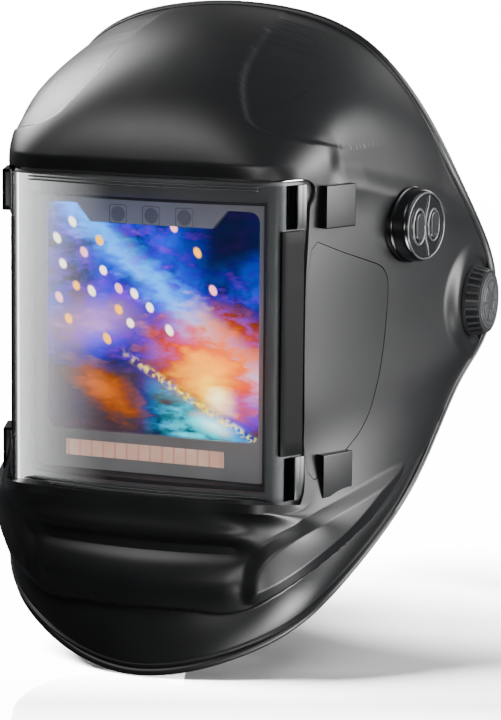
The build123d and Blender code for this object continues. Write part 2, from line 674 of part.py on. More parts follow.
strap_thickness = 1.6
strap_outer_x = band_half_width - band_thickness - 0.2
strap_gap = 0.3
overlap_half = 22.0
foot_depth = 9.0
outer_arch = arch(strap_outer_x, crown_rise, strap_thickness, crown_width)
inner_arch = arch(strap_outer_x, crown_rise - strap_thickness - strap_gap, strap_thickness, crown_width)
foot = box(strap_outer_x - strap_thickness, strap_outer_x, -crown_width / 2, crown_width / 2,
           band_top_z - foot_depth, band_top_z + 0.2)
crown_left = (outer_arch & box(-overlap_half, 120, -60, 60, 0, 200)) + foot
inner_right = inner_arch & box(-120, overlap_half, -60, 60, 0, 200)
crown_right = inner_right + mirrored(foot)
hole_pitch = 10.0
for index in (-1, 0, 1):
    hole = rod_z(2.0, 80, 120, index * hole_pitch, 0)
    crown_left = crown_left - hole
    crown_right = crown_right - hole
write("crown_strap_left", tipped(crown_left))
write("crown_strap_right", tipped(crown_right))
pegs = None
for index in (-1, 1):
    top_z = band_top_z + crown_rise
    peg = rod_z(2.0, top_z - 2 * strap_thickness - strap_gap, top_z, index * hole_pitch)
    peg = peg + rod_z(3.6, top_z, top_z + 1.2, index * hole_pitch)
    pegs = peg if pegs is None else pegs + peg
write("crown_pegs", tipped(pegs))

# A strap from the front band up to the crown straps, under them.
reach = band_front - band_thickness - 0.2
top_inner = crown_rise - 2 * strap_thickness - strap_gap - 1.3
profile = Ellipse(reach, top_inner) - Ellipse(reach - strap_thickness, top_inner - strap_thickness)
profile = profile & (Pos(-reach / 2, top_inner / 2) * Rectangle(reach, top_inner))
front_strap = Pos(0, 0, band_top_z) * extrude(Plane.YZ * profile, crown_width / 2, both=True)
front_strap = front_strap + box(-crown_width / 2, crown_width / 2, -reach, -reach + strap_thickness,
                                band_top_z - foot_depth, band_top_z + 0.2)
front_strap = front_strap + (Pos(0, 0, band_top_z + top_inner - strap_thickness / 2)
                             * Box(crown_width, crown_width, strap_thickness))
band_hollow = Pos(0, -band_straight) * Ellipse(band_half_width - band_thickness,
                                               band_front - band_straight - band_thickness)
band_hollow = extrude(band_hollow, 200, both=True)
front_strap = front_strap & (band_hollow + box(-60, 60, -40, 60, -20, 200))
write("front_crown_strap", tipped(front_strap))

sweat_gap = 2.2
sweat_outer = band_thickness + sweat_gap
sweatband = half_band(band_half_width - sweat_outer, band_front - band_straight - sweat_outer,
                      -band_straight, 0, 5.0, band_height - 2, True)
sweatband = sweatband & box(-66, 66, -200, -40, -40, 40)
write("sweatband", tipped(sweatband))

# ---------------------------------------------------------------- rear cradle and ratchet

rear_outer_x = band_half_width - band_thickness - 0.3
rear_straight = 25.0
rear_end_y = 12.0
rear_full_y = 27.0            # the strap has its full height from here back
rear_thickness = 1.6
rear_strap = half_band(rear_outer_x, rear_reach - rear_straight, rear_straight, rear_end_y, rear_thickness,
                       rear_height, False)
rear_strap = rear_strap & box(-200, 200, rear_full_y, 200, -rear_height / 2 - 5, rear_height / 2 - 5)
# The strap's ends are narrower, to slide past the crown straps' feet.
rear_ends = half_band(rear_outer_x, rear_reach - rear_straight, rear_straight, rear_end_y,
                      rear_thickness, rear_height, False)
rear_strap = rear_strap + (rear_ends & box(-200, 200, rear_end_y, rear_full_y + 10, -7, 2))
housing_half_width = 34.0
housing_half_height = 17.0
housing_y = (rear_reach - 1.0, rear_reach + 11.0)
housing_z = -5.0


def rounded_block(half_width, half_height, y0, y1, radius):
    """A block with rounded corners seen from behind."""
    block = box(-half_width, half_width, y0, y1, housing_z - half_height, housing_z + half_height)
    return fillet(block.edges().filter_by(Axis.Y), radius)


room = rounded_block(housing_half_width - 2, housing_half_height - 2, housing_y[0] + 1.8, housing_y[1], 6)
housing = rounded_block(housing_half_width, housing_half_height, *housing_y, 8) - room
strap_body = extrude(Pos(0, rear_straight) * Ellipse(rear_outer_x, rear_reach - rear_straight), 60, both=True)
housing = housing - strap_body
write("rear_strap", tipped(rear_strap))
shaft_radius = 4.0
cover_plate = rounded_block(housing_half_width - 2.05, housing_half_height - 2.05,
                            housing_y[1] - 1.8, housing_y[1], 6)
cover_plate = cover_plate - rod_y(shaft_radius + running_gap, 60, 140, 0, housing_z)
shaft_seat = rod_y(shaft_radius + running_gap, 60, 140, 0, housing_z)
write("ratchet_housing", tipped(housing - shaft_seat))
write("ratchet_cover", tipped(cover_plate))
pinion_teeth = 14
pinion_radius = 6.0
gear_y = (housing_y[0] + 3.2, housing_y[1] - 3.0)
pinion = rod_y(pinion_radius - 1.0, *gear_y, 0, housing_z)
for tooth in range(pinion_teeth):
    turn = 360 / pinion_teeth * tooth
    bump = box(-0.6, 0.6, *gear_y, pinion_radius - 1.6, pinion_radius)
    pinion = pinion + Pos(0, 0, housing_z) * Rot(0, turn, 0) * bump
knob_front_y = housing_y[1] + 0.5
pinion = pinion + rod_y(shaft_radius, housing_y[0] + 2.2, knob_front_y + 6, 0, housing_z)
write("ratchet_pinion", tipped(pinion))
rack_offset = pinion_radius + 0.4
rack = box(-28, 28, *gear_y, housing_z + rack_offset, housing_z + rack_offset + 3)
for tooth in range(-8, 9):
    notch_x = tooth * 3.2
    rack = rack - box(notch_x - 0.7, notch_x + 0.7, gear_y[0] - 1, gear_y[1] + 1,
                      housing_z + rack_offset - 1, housing_z + rack_offset + 1)
lower_rack = Pos(0, 0, housing_z) * mirror(Pos(0, 0, -housing_z) * rack, about=Plane.XY)
write("ratchet_racks", tipped(rack + lower_rack))
ratchet_radius = 17.0
ratchet_depth = 12.0
grip = rod_y(ratchet_radius, knob_front_y, knob_front_y + ratchet_depth, 0, housing_z)
grip = fillet(grip.edges().sort_by(Axis.Y)[-1:], 2.0)
for rib in range(12):
    turn = 30 * rib
    groove = rod_y(2.2, knob_front_y + 1.5, knob_front_y + 20, 0, ratchet_radius + 0.6)
    grip = grip - Pos(0, 0, housing_z) * Rot(0, turn, 0) * groove
grip = grip - rod_y(shaft_radius, knob_front_y - 1, knob_front_y + 6, 0, housing_z)
write("ratchet_knob", tipped(grip))
pad_gap = 0.4
pad_outer = rear_thickness + pad_gap
rear_pad = half_band(rear_outer_x - pad_outer, rear_reach - rear_straight - pad_outer,
                     rear_straight, 30.0, 4.0, rear_height - 2, False)
rear_pad = rear_pad & box(-40, 40, 60, 200, -rear_height / 2 - 4, rear_height / 2 - 6)
write("rear_pad", tipped(rear_pad))
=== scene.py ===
import json
import math

import bmesh
import bpy
import numpy as np
from mathutils import Matrix, Vector


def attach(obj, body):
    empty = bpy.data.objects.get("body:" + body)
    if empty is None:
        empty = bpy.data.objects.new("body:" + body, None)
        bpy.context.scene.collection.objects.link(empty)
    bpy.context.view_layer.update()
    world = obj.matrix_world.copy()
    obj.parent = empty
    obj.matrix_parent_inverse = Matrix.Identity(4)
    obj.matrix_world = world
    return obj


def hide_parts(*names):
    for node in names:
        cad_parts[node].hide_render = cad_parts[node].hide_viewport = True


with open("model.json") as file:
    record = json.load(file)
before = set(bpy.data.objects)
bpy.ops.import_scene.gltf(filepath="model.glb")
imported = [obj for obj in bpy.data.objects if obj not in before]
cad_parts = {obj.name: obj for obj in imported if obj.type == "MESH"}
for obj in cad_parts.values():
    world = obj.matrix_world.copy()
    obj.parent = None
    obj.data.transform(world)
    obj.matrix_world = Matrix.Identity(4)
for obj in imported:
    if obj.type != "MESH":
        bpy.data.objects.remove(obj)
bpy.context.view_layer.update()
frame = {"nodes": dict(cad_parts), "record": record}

MM = 0.001
SCENE = bpy.context.scene
SIDES = (("left", 1), ("right", -1))


# ---------------------------------------------------------------- camera

def add_object(name, data):
    made = bpy.data.objects.new(name, data)
    SCENE.collection.objects.link(made)
    return made


def heading(azimuth, elevation):
    """Unit vector away from the helmet. Azimuth 0 is in front, positive to the wearer's left."""
    return Vector((math.sin(azimuth) * math.cos(elevation), -math.cos(azimuth) * math.cos(elevation),
                   math.sin(elevation)))


def aim_camera():
    """A long lens in front of the helmet, 23 degrees round to the wearer's left and 9 above."""
    azimuth = math.radians(23.0)
    elevation = math.radians(9.2)
    roll = math.radians(0.5)
    distance = 1.59
    target = Vector((-0.0064, 0.0, -0.038))
    back = heading(azimuth, elevation)
    right = Vector((math.cos(azimuth), math.sin(azimuth), 0.0))
    up = back.cross(right)
    rolled_right = right * math.cos(roll) + up * math.sin(roll)
    rolled_up = up * math.cos(roll) - right * math.sin(roll)
    data = bpy.data.cameras.new("camera")
    data.lens = 157.5
    data.sensor_width = 36.0
    data.clip_end = 50.0
    camera = add_object("camera", data)
    turn = Matrix((rolled_right, rolled_up, back)).transposed().to_4x4()
    camera.matrix_world = Matrix.Translation(target + back * distance) @ turn
    SCENE.camera = camera
    return azimuth


camera_azimuth = aim_camera()


# ---------------------------------------------------------------- materials

def add_node(tree, kind, inputs=(), **values):
    """A node with its input values and its settings, both by name."""
    made = tree.nodes.new(kind)
    for key, value in values.items():
        setattr(made, key, value)
    for key, value in dict(inputs).items():
        made.inputs[key].default_value = value
    return made


class Shader:
    """A Principled material with short helpers for its procedural nodes."""

    def __init__(self, name, color, roughness, metallic=0.0, specular=0.5):
        self.material = bpy.data.materials.new(name)
        self.material.use_nodes = True
        self.tree = self.material.node_tree
        self.shader = self.tree.nodes["Principled BSDF"]
        self.output = self.tree.nodes["Material Output"]
        self.color = color
        self.set("Base Color", (*color, 1.0))
        self.set("Roughness", roughness)
        self.set("Metallic", metallic)
        self.set("Specular IOR Level", specular)
        self.place = self.node("ShaderNodeTexCoord").outputs["Object"]

    def set(self, socket, value):
        self.shader.inputs[socket].default_value = value

    def node(self, kind, inputs=(), **values):
        return add_node(self.tree, kind, inputs, **values)

    def link(self, source, target):
        self.tree.links.new(source, target)

    def mapped(self, scale=(1, 1, 1), rotation=(0, 0, 0)):
        mapping = self.node("ShaderNodeMapping", {"Scale": scale, "Rotation": rotation})
        self.link(self.place, mapping.inputs["Vector"])
        return mapping.outputs["Vector"]

    def noise(self, scale, detail=3.0, roughness=0.55, vector=None):
        values = {"Scale": scale, "Detail": detail, "Roughness": roughness}
        noise = self.node("ShaderNodeTexNoise", values)
        self.link(vector or self.place, noise.inputs["Vector"])
        return noise.outputs["Fac"]

    def ramp(self, source, low, high, to_low=0.0, to_high=1.0):
        limits = {"From Min": low, "From Max": high, "To Min": to_low, "To Max": to_high}
        ranged = self.node("ShaderNodeMapRange", limits)
        self.link(source, ranged.inputs["Value"])
        return ranged.outputs["Result"]

    def math(self, operation, a, b=None):
        made = self.node("ShaderNodeMath", operation=operation)
        for socket, value in zip(made.inputs, (a, b)):
            if value is None:
                continue
            if isinstance(value, (int, float)):
                socket.default_value = value
            else:
                self.link(value, socket)
        return made.outputs[0]

    def mix(self, factor, a, b, blend="MIX"):
        made = self.node("ShaderNodeMix", data_type="RGBA", blend_type=blend)
        for index, value in ((0, factor), (6, a), (7, b)):
            socket = made.inputs[index]
            if isinstance(value, bpy.types.NodeSocket):
                self.link(value, socket)
            elif isinstance(value, tuple):
                socket.default_value = (*value, 1.0)
            else:
                socket.default_value = value
        return made.outputs[2]

    def axes(self):
        """The object's own X, Y and Z."""
        split = self.node("ShaderNodeSeparateXYZ")
        self.link(self.place, split.inputs[0])
        return split.outputs

    def blend(self, factor, a, b):
        """A shader that goes from a to b with the factor."""
        made = self.node("ShaderNodeMixShader")
        for socket, source in zip(made.inputs, (factor, a, b)):
            self.link(source, socket)
        return made.outputs[0]

    def surface(self, source):
        self.link(source, self.output.inputs["Surface"])

    def base(self, source):
        self.link(source, self.shader.inputs["Base Color"])

    def rough(self, source):
        self.link(source, self.shader.inputs["Roughness"])

    def bump(self, height, strength, distance):
        bump = self.node("ShaderNodeBump", {"Strength": strength, "Distance": distance})
        self.link(height, bump.inputs["Height"])
        self.link(bump.outputs["Normal"], self.shader.inputs["Normal"])

    def worn_edges(self, color, amount):
        """Slightly paler rubbed edges, over a colour."""
        edges = self.node("ShaderNodeNewGeometry").outputs["Pointiness"]
        return self.mix(self.math("MULTIPLY", self.ramp(edges, 0.53, 0.62), amount), color,
                        tuple(min(1.0, 2.6 * c + 0.03) for c in self.color))


def moulded(name, color, roughness, depth=0.00006, spread=0.05, wear=0.35, specular=0.5, coat=0.0):
    """Moulded plastic: fine spark grain, faint flow mottling and rubbed edges."""
    s = Shader(name, color, roughness, specular=specular)
    dark = tuple(0.84 * c for c in color)
    light = tuple(min(1.0, 1.18 * c) for c in color)
    flow = s.ramp(s.noise(22.0, 4.0), 0.3, 0.7)
    s.base(s.worn_edges(s.mix(flow, dark, light), wear))
    handled = s.noise(75.0, 5.0, 0.65)
    s.rough(s.ramp(handled, 0.25, 0.75, roughness - spread, roughness + spread))
    fine = s.noise(900.0, 2.0, 0.6)
    s.bump(fine, 0.35, depth)
    if coat:
        s.set("Coat Weight", coat)
        s.set("Coat Roughness", 0.12)
    return s.material


def cloth_material(name, color):
    """Brushed cotton terry over foam: crossed threads, lint and a soft sheen."""
    s = Shader(name, color, 0.92, specular=0.2)
    threads = {"Scale": 260.0, "Distortion": 2.2, "Detail": 2.0}
    warp, weft = [s.node("ShaderNodeTexWave", threads, bands_direction=axis) for axis in "XZ"]
    for wave in (warp, weft):
        s.link(s.place, wave.inputs["Vector"])
    weave = s.math("MULTIPLY", warp.outputs["Fac"], weft.outputs["Fac"])
    lint = s.noise(1400.0, 3.0)
    fluff = s.math("ADD", weave, s.math("MULTIPLY", lint, 0.7))
    tone = s.mix(s.ramp(fluff, 0.2, 1.2), tuple(0.55 * c for c in color), tuple(1.7 * c for c in color))
    s.base(s.mix(s.ramp(s.noise(30.0, 4.0), 0.35, 0.75), tone, tuple(1.25 * c for c in color)))
    s.bump(fluff, 0.8, 0.0005)
    s.set("Sheen Weight", 0.5)
    s.set("Sheen Roughness", 0.45)
    return s.material


def metal(name, color, roughness, stretch):
    """Turned or plated metal: fine lines one way, slight tarnish."""
    s = Shader(name, color, roughness, metallic=1.0)
    lines = s.noise(380.0, 4.0, 0.7, s.mapped(scale=stretch))
    tarnish = s.ramp(s.noise(140.0, 4.0), 0.4, 0.75)
    s.base(s.mix(tarnish, color, tuple(0.72 * c for c in color)))
    s.rough(s.ramp(lines, 0.3, 0.7, roughness - 0.08, roughness + 0.14))
    s.bump(lines, 0.25, 0.00008)
    return s.material


def clear_plastic(name, tint, haze, roughness):
    """A clear sheet: see-through, with a Fresnel reflection and faint haze from wiping."""
    s = Shader(name, tint, roughness)
    clear = s.node("ShaderNodeBsdfTransparent", {"Color": (*tint, 1.0)})
    gloss = s.node("ShaderNodeBsdfGlossy", {"Color": (1.0, 1.0, 1.0, 1.0)})
    wiped = s.noise(60.0, 5.0, 0.7, s.mapped(scale=(1.0, 1.0, 3.0)))
    s.link(s.ramp(wiped, 0.3, 0.8, roughness, roughness + 0.05), gloss.inputs["Roughness"])
    fresnel = s.node("ShaderNodeFresnel", {"IOR": 1.5})
    mirror = s.blend(fresnel.outputs["Fac"], clear.outputs[0], gloss.outputs[0])
    dust = s.node("ShaderNodeBsdfDiffuse", {"Color": (0.8, 0.82, 0.84, 1.0)})
    film = s.ramp(s.noise(35.0, 4.0), 0.3, 0.8, haze * 0.6, haze * 1.4)
    s.surface(s.blend(film, mirror, dust.outputs[0]))
    return s.material


def painted_filter_view():
    """A painted view through the filter, made to glow: painted soft blue and violet light, a warm glow and
    out-of-focus lamps.
    """
    s = Shader("filter_glass", (0.03, 0.04, 0.12), 0.12)
    across, _, height = s.axes()

    def add(a, b):
        return s.math("ADD", a, b)

    def times(a, b):
        return s.math("MULTIPLY", a, b)

    clouds = s.noise(30.0, 5.0, 0.6)
    veins = s.noise(70.0, 6.0, 0.65, s.mapped(rotation=(0, 0.7, 0), scale=(1.0, 1.0, 2.6)))

    def spot(x, z, wide, high, turn=0.0, wobble=0.0, soft=1.0):
        """1 inside a turned ellipse, falling to 0 at its edge."""
        dx = add(across, -x)
        dz = add(height, -z)
        c, n = math.cos(turn), math.sin(turn)
        u = s.math("DIVIDE", add(times(dx, c), times(dz, n)), wide)
        w = s.math("DIVIDE", add(times(dz, c), times(dx, -n)), high)
        r = s.math("SQRT", add(times(u, u), times(w, w)))
        if wobble:
            r = add(r, times(add(veins, -0.5), wobble))
        return s.ramp(r, 1.0 - soft, 1.0, 1.0, 0.0)

    blue = s.mix(s.ramp(clouds, 0.40, 0.62), (0.003, 0.006, 0.05), (0.03, 0.13, 0.75))
    picture = s.mix(times(s.ramp(veins, 0.46, 0.66), 0.8), blue, (0.36, 0.20, 0.62))

    def lay(mask, strength, color):
        """One more layer over the picture."""
        return s.mix(times(mask, strength), picture, color)

    night = times(s.ramp(across, 0.004, 0.030), s.ramp(add(height, times(across, -0.35)), -0.006, 0.020))
    picture = lay(night, 0.93, (0.001, 0.002, 0.025))
    band = s.math("ABSOLUTE", add(add(height, times(across, 0.78)), add(times(veins, 0.03), -0.033)))
    picture = lay(s.ramp(band, 0.0, 0.014, 1.0, 0.0), 0.85, (0.40, 0.66, 1.0))
    picture = lay(spot(-0.030, -0.002, 0.036, 0.020, 0.3, 1.6), 0.8, (0.62, 0.42, 0.60))
    picture = lay(spot(0.030, -0.020, 0.044, 0.034, -0.3, 1.2), 1.0, (0.95, 0.30, 0.01))
    shade = times(s.ramp(add(height, times(veins, 0.012)), -0.006, -0.020), s.ramp(across, 0.014, -0.010))
    picture = lay(shade, 0.92, (0.070, 0.045, 0.036))
    picture = lay(spot(-0.026, -0.034, 0.026, 0.012, -0.5, 1.6), 0.8, (0.62, 0.25, 0.10))
    picture = lay(spot(0.026, -0.026, 0.020, 0.016, -0.4, 1.2), 1.0, (1.0, 0.62, 0.06))
    picture = lay(spot(0.033, -0.034, 0.012, 0.010, -0.6, 1.0), 1.0, (1.0, 0.97, 0.75))
    slant = add(height, times(across, 0.55))
    low = times(s.ramp(slant, -0.020, -0.034), s.ramp(across, -0.006, 0.016))
    teal = s.mix(s.ramp(veins, 0.38, 0.62), (0.0, 0.05, 0.09), (0.04, 0.62, 0.70))
    picture = s.mix(low, picture, teal)
    picture = lay(spot(0.030, -0.047, 0.016, 0.006, -0.3, 1.0), 0.9, (0.85, 1.0, 1.0))
    edge = s.math("ABSOLUTE", add(slant, 0.025))
    sparks = times(s.ramp(edge, 0.0, 0.0030, 1.0, 0.0), s.ramp(s.noise(420.0, 2.0), 0.45, 0.60))
    picture = s.mix(times(sparks, s.ramp(across, -0.02, 0.0)), picture, (1.0, 0.85, 0.35))
    lamps = ((-0.050, 0.036, 0), (-0.042, 0.044, 0), (-0.036, 0.030, 1), (-0.047, 0.024, 0),
             (-0.028, 0.036, 2), (-0.026, 0.022, 0), (-0.040, 0.014, 2), (-0.032, 0.012, 0),
             (-0.049, 0.008, 1), (-0.010, 0.012, 0), (-0.018, 0.014, 1), (-0.002, 0.006, 0),
             (-0.018, 0.004, 2), (-0.012, -0.002, 0), (0.008, -0.004, 0), (-0.024, -0.010, 2),
             (0.022, 0.033, 2), (0.030, 0.016, 1), (-0.044, -0.002, 2), (0.010, 0.044, 1))
    tones = ((1.0, 0.95, 0.82), (0.95, 0.62, 0.66), (1.0, 0.66, 0.28))
    for index, (x, z, tone) in enumerate(lamps):
        long = 0.0034 - 0.0001 * (index % 7)
        picture = s.mix(spot(x, z, 0.0021, long, 0.55, 0.25, 0.35), picture, tones[tone])
    vivid = s.node("ShaderNodeHueSaturation", {"Saturation": 1.25})
    s.link(s.mix(0.75, picture, s.mix(1.0, picture, picture, "MULTIPLY")), vivid.inputs["Color"])
    s.base(picture)
    # The painted picture is also emitted, so the filter glows with painted light though it is no lamp.
    s.link(vivid.outputs[0], s.shader.inputs["Emission Color"])
    s.set("Emission Strength", 3.4)
    s.set("Specular IOR Level", 0.3)
    return s.material


def solar_material():
    """Copper-brown solar cell with fine conductor lines, made to glow with painted light."""
    s = Shader("solar_copper", (0.72, 0.42, 0.32), 0.3)
    lines = s.node("ShaderNodeTexWave", {"Scale": 52.0}, bands_direction="X")
    s.link(s.place, lines.inputs["Vector"])
    fine = s.ramp(lines.outputs["Fac"], 0.02, 0.10)
    tone = s.mix(s.ramp(s.noise(60.0, 3.0), 0.3, 0.7), (0.66, 0.36, 0.27), (0.82, 0.52, 0.41))
    s.base(s.mix(fine, (0.60, 0.32, 0.24), tone))
    s.bump(fine, 0.2, 0.0001)
    # Painted glow: the cell's colour is emitted, though the cell is no lamp.
    s.link(s.mix(fine, (0.62, 0.30, 0.22), tone), s.shader.inputs["Emission Color"])
    s.set("Emission Strength", 0.9)
    return s.material


def board_material():
    """Green solder mask with paler tracks."""
    s = Shader("circuit_board", (0.03, 0.14, 0.07), 0.4)
    tracks = s.node("ShaderNodeTexBrick", {
        "Scale": 160.0, "Mortar Size": 0.03, "Color1": (0.02, 0.12, 0.06, 1),
        "Color2": (0.03, 0.16, 0.08, 1), "Mortar": (0.10, 0.34, 0.18, 1)})
    s.link(s.mapped(rotation=(math.pi / 2, 0, 0)), tracks.inputs["Vector"])
    s.base(tracks.outputs["Color"])
    s.bump(tracks.outputs["Fac"], 0.2, 0.0001)
    return s.material


MATERIALS = {
    "shell_black": moulded("shell_black", (0.016, 0.0164, 0.0175), 0.33, spread=0.02, wear=0.12),
    "gloss_black": moulded("gloss_black", (0.012, 0.0125, 0.014), 0.12, depth=0.00001, spread=0.03, wear=0.2,
                           coat=0.6),
    "button_black": moulded("button_black", (0.035, 0.036, 0.039), 0.22, depth=0.00002, spread=0.04,
                            wear=0.8),
    "knob_black": moulded("knob_black", (0.020, 0.0205, 0.022), 0.30, spread=0.06, wear=0.8),
    "knob_cap": moulded("knob_cap", (0.060, 0.061, 0.064), 0.42, wear=0.6),
    "inner_black": moulded("inner_black", (0.026, 0.026, 0.028), 0.45),
    "headgear_black": moulded("headgear_black", (0.030, 0.030, 0.032), 0.48),
    "rubber_black": moulded("rubber_black", (0.020, 0.020, 0.020), 0.7, depth=0.00012),
    "bezel_grey": moulded("bezel_grey", (0.62, 0.63, 0.64), 0.42, spread=0.08, wear=0.1),
    "sensor_dark": moulded("sensor_dark", (0.26, 0.27, 0.29), 0.12, depth=0.00001, spread=0.03),
    "sweat_fabric": cloth_material("sweat_fabric", (0.045, 0.045, 0.05)),
    "steel": metal("steel", (0.62, 0.62, 0.63), 0.3, (1.0, 6.0, 6.0)),
    "brass": metal("brass", (0.78, 0.60, 0.28), 0.3, (6.0, 1.0, 1.0)),
    "solar_copper": solar_material(),
    "circuit_board": board_material(),
    "clear_lens": clear_plastic("clear_lens", (0.97, 0.98, 0.98), 0.012, 0.03),
    "tinted_window": moulded("tinted_window", (0.013, 0.0135, 0.0145), 0.30, spread=0.005, wear=0.0),
    "filter_glass": painted_filter_view(),
}

record_slots = {part["node"]: part["material_slot"] for part in frame["record"]["subparts"]}
for node_name, node_object in frame["nodes"].items():
    node_object.data.materials.clear()
    node_object.data.materials.append(MATERIALS[record_slots[node_name]])


# ---------------------------------------------------------------- mesh helpers

def add_piece(name, points, faces, slot, body, sharp=35.0):
    """A mesh from points in millimetres, riding on a body."""
    mesh = bpy.data.meshes.new(name)
    mesh.from_pydata((np.asarray(points, float) * MM).tolist(), [], faces)
    made = bmesh.new()
    made.from_mesh(mesh)
    bmesh.ops.recalc_face_normals(made, faces=made.faces)
    made.to_mesh(mesh)
    made.free()
    finish_mesh(mesh, sharp)
    piece = add_object(name, mesh)
    mesh.materials.append(MATERIALS[slot])
    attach(piece, body)
    return piece


def vertex_points(mesh):
    flat = np.empty(len(mesh.vertices) * 3)
    mesh.vertices.foreach_get("co", flat)
    return flat.reshape(-1, 3)


def finish_mesh(mesh, sharp):
    mesh.polygons.foreach_set("use_smooth", [True] * len(mesh.polygons))
    mesh.set_sharp_from_angle(angle=math.radians(sharp))
    mesh.update()


def grid_faces(rows, columns, close_rows=False, close_columns=False):
    """Quads over a grid of points stored row by row."""
    faces = []
    for r in range(rows if close_rows else rows - 1):
        below = ((r + 1) % rows) * columns
        for c in range(columns if close_columns else columns - 1):
            beside = (c + 1) % columns
            faces.append((r * columns + c, r * columns + beside, below + beside, below + c))
    return faces


def stack_faces(rows, columns, start=0):
    """Faces of a stack of closed loops with both ends capped, for points that begin at start."""
    top = (rows - 1) * columns
    caps = [tuple(range(columns)), tuple(top + k for k in reversed(range(columns)))]
    faces = grid_faces(rows, columns, close_columns=True) + caps
    return [tuple(start + i for i in face) for face in faces]


def unit(vectors):
    return vectors / np.linalg.norm(vectors, axis=-1, keepdims=True)


def smooth(t):
    t = np.clip(t, 0.0, 1.0)
    return t * t * (3.0 - 2.0 * t)


def dense(points, count=90):
    """Many points on a smooth curve through a few."""
    points = np.array(points, float)
    steps = np.linspace(0, len(points) - 1, count)
    padded = np.vstack([2 * points[0] - points[1], points, 2 * points[-1] - points[-2]])
    out = []
    for step in steps:
        i = min(int(step), len(points) - 2)
        t = step - i
        a, b, c, d = padded[i:i + 4]
        out.append(0.5 * (2 * b + (c - a) * t + (2 * a - 5 * b + 4 * c - d) * t**2
                          + (3 * b - a - 3 * c + d) * t**3))
    return np.array(out)


def nearest(points, line):
    """Distance from each point to a line of samples, and which sample is nearest."""
    best = np.full(len(points), 1e9)
    index = np.zeros(len(points), int)
    for k, sample in enumerate(line):
        away = ((points - sample) ** 2).sum(1)
        closer = away < best
        best[closer] = away[closer]
        index[closer] = k
    return np.sqrt(best), index


# ---------------------------------------------------------------- shell surface, in millimetres

WALL = 2.6
BOSS_X = 111.4          # outer face of the round plateau under each tension knob
BOSS_MIDDLE = (1.0, 0.5)
SHELL_COLUMNS = [
    [(0, -43, 143), (0, -87, 136), (0, -144, 117), (0, -152.5, 69.5)],
    [(36, -43, 139.5), (35.5, -82, 132), (36.5, -143, 113.5), (36, -151, 69.5)],
    [(62, -42.5, 130.5), (63, -76, 121.5), (65, -131, 103.5), (62, -145.5, 69.5)],
    [(81, -39, 115), (84.5, -70, 106.5), (84, -117, 92), (76, -129, 69)],
    [(96.5, -29, 90), (99, -58, 82.8), (89, -102, 71), (78.2, -122.3, 55)],
    [(106.7, -13, 60), (106, -47, 53), (90, -96, 40), (77.7, -123, 30)],
    [(111.9, 9, 32), (109.5, -30, 24), (91, -92, 13), (77.4, -123.3, 7)],
    [(114.4, 20.5, 6), (110.5, -22, -3), (91, -92, -11), (77.4, -123.3, -16)],
    [(113.1, 9, -20), (109.5, -27, -28), (91, -93, -32), (77.6, -123.2, -38)],
    [(106.8, -9, -40), (105, -43, -47), (92, -97, -52), (78, -123, -60)],
    [(102, -40, -72), (102, -66, -76), (93, -110, -77), (78, -130, -80.5)],
    [(96, -73.5, -98), (99, -92, -98), (91, -124, -93.5), (64, -147, -83)],
    [(83.5, -111, -124), (84, -126, -119), (70, -142, -101), (46, -150, -83)],
    [(56.5, -135.5, -147.5), (56, -143, -138), (42, -151, -108), (28, -152, -83)],
    [(0, -151.5, -162), (0, -154, -148), (0, -154, -112), (0, -152.7, -83)],
]
MIRROR = np.array([-1.0, 1.0, 1.0])


def spline_rows(points, steps):
    """Points on a smooth curve through the given ones, mirror-symmetric at both ends."""
    inner = np.array(points, float)
    pad = 4
    extended = np.vstack([inner[pad:0:-1] * MIRROR, inner, inner[-2:-2 - pad:-1] * MIRROR])
    count = len(extended)
    beside = np.ones(count - 1)
    system = np.diag(np.full(count, 4.0)) + np.diag(beside, 1) + np.diag(beside, -1)
    source = np.zeros_like(extended)
    source[1:-1] = 3 * (extended[2:] - extended[:-2])
    slopes = np.linalg.solve(system, source)
    position = np.asarray(steps) * (len(inner) - 1) + pad
    index = np.clip(position.astype(int), 0, count - 2)
    t = (position - index)[:, None]
    a, b, m, n = extended[index], extended[index + 1], slopes[index], slopes[index + 1]
    return ((2 * t**3 - 3 * t**2 + 1) * a + (t**3 - 2 * t**2 + t) * m
            + (3 * t**2 - 2 * t**3) * b + (t**3 - t**2) * n)


def both_halves(half):
    """The wearer's left half of a grid and its mirror image."""
    return np.concatenate([half, half[:, -2:0:-1] * MIRROR], axis=1)


def shell_grid(across, along):
    """Outer shell points, rows from the rim to the lens."""
    curves = [spline_rows([column[k] for column in SHELL_COLUMNS], across) for k in range(4)]
    rows = []
    for v in along:
        weights = [(1 - v)**3, 3 * v * (1 - v)**2, 3 * v**2 * (1 - v), v**3]
        rows.append(sum(w * c for w, c in zip(weights, curves)))
    return np.array(rows)


def grid_normals(grid):
    """Outward unit normals of a shell grid on the wearer's left."""
    normal = unit(np.cross(np.gradient(grid, axis=1), np.gradient(grid, axis=0)))
    rows, columns = grid.shape[:2]
    if normal[rows // 2, columns // 2, 0] < 0:
        normal = -normal
    return normal


JAW_TURN = math.radians(26.57)
JAW_OUTLINE = [(128, -69), (95, -79), (75, -86.7), (57.7, -98), (50, -107), (48.3, -118), (50, -128),
               (59, -126), (76, -116), (104.7, -96), (128, -76)]
CROWN_CREASE = [(31, -57, 137), (33, -89, 127), (36, -113, 115.5), (42.5, -128, 103), (49, -134.5, 94.5),
                (59.5, -133.5, 89.7), (73, -124.5, 86), (84, -112, 83)]
BROW_CREASE = [(-106, 64), (-92, 62), (-74, 57.5), (-42, 50), (-8, 39)]
CHIN_CREASE = [(0, -153, -131), (25, -151.5, -131), (50.5, -144, -131), (75, -131, -116), (93, -102, -96),
               (103, -34, -64)]


def cut_corners(outline, share, times):
    """A closed outline with its corners cut off, several times over."""
    points = np.array(outline, float)
    for _ in range(times):
        ahead = np.roll(points, -1, axis=0)
        pair = [(1 - share) * points + share * ahead, share * points + (1 - share) * ahead]
        points = np.stack(pair, 1).reshape(-1, 2)
    return points


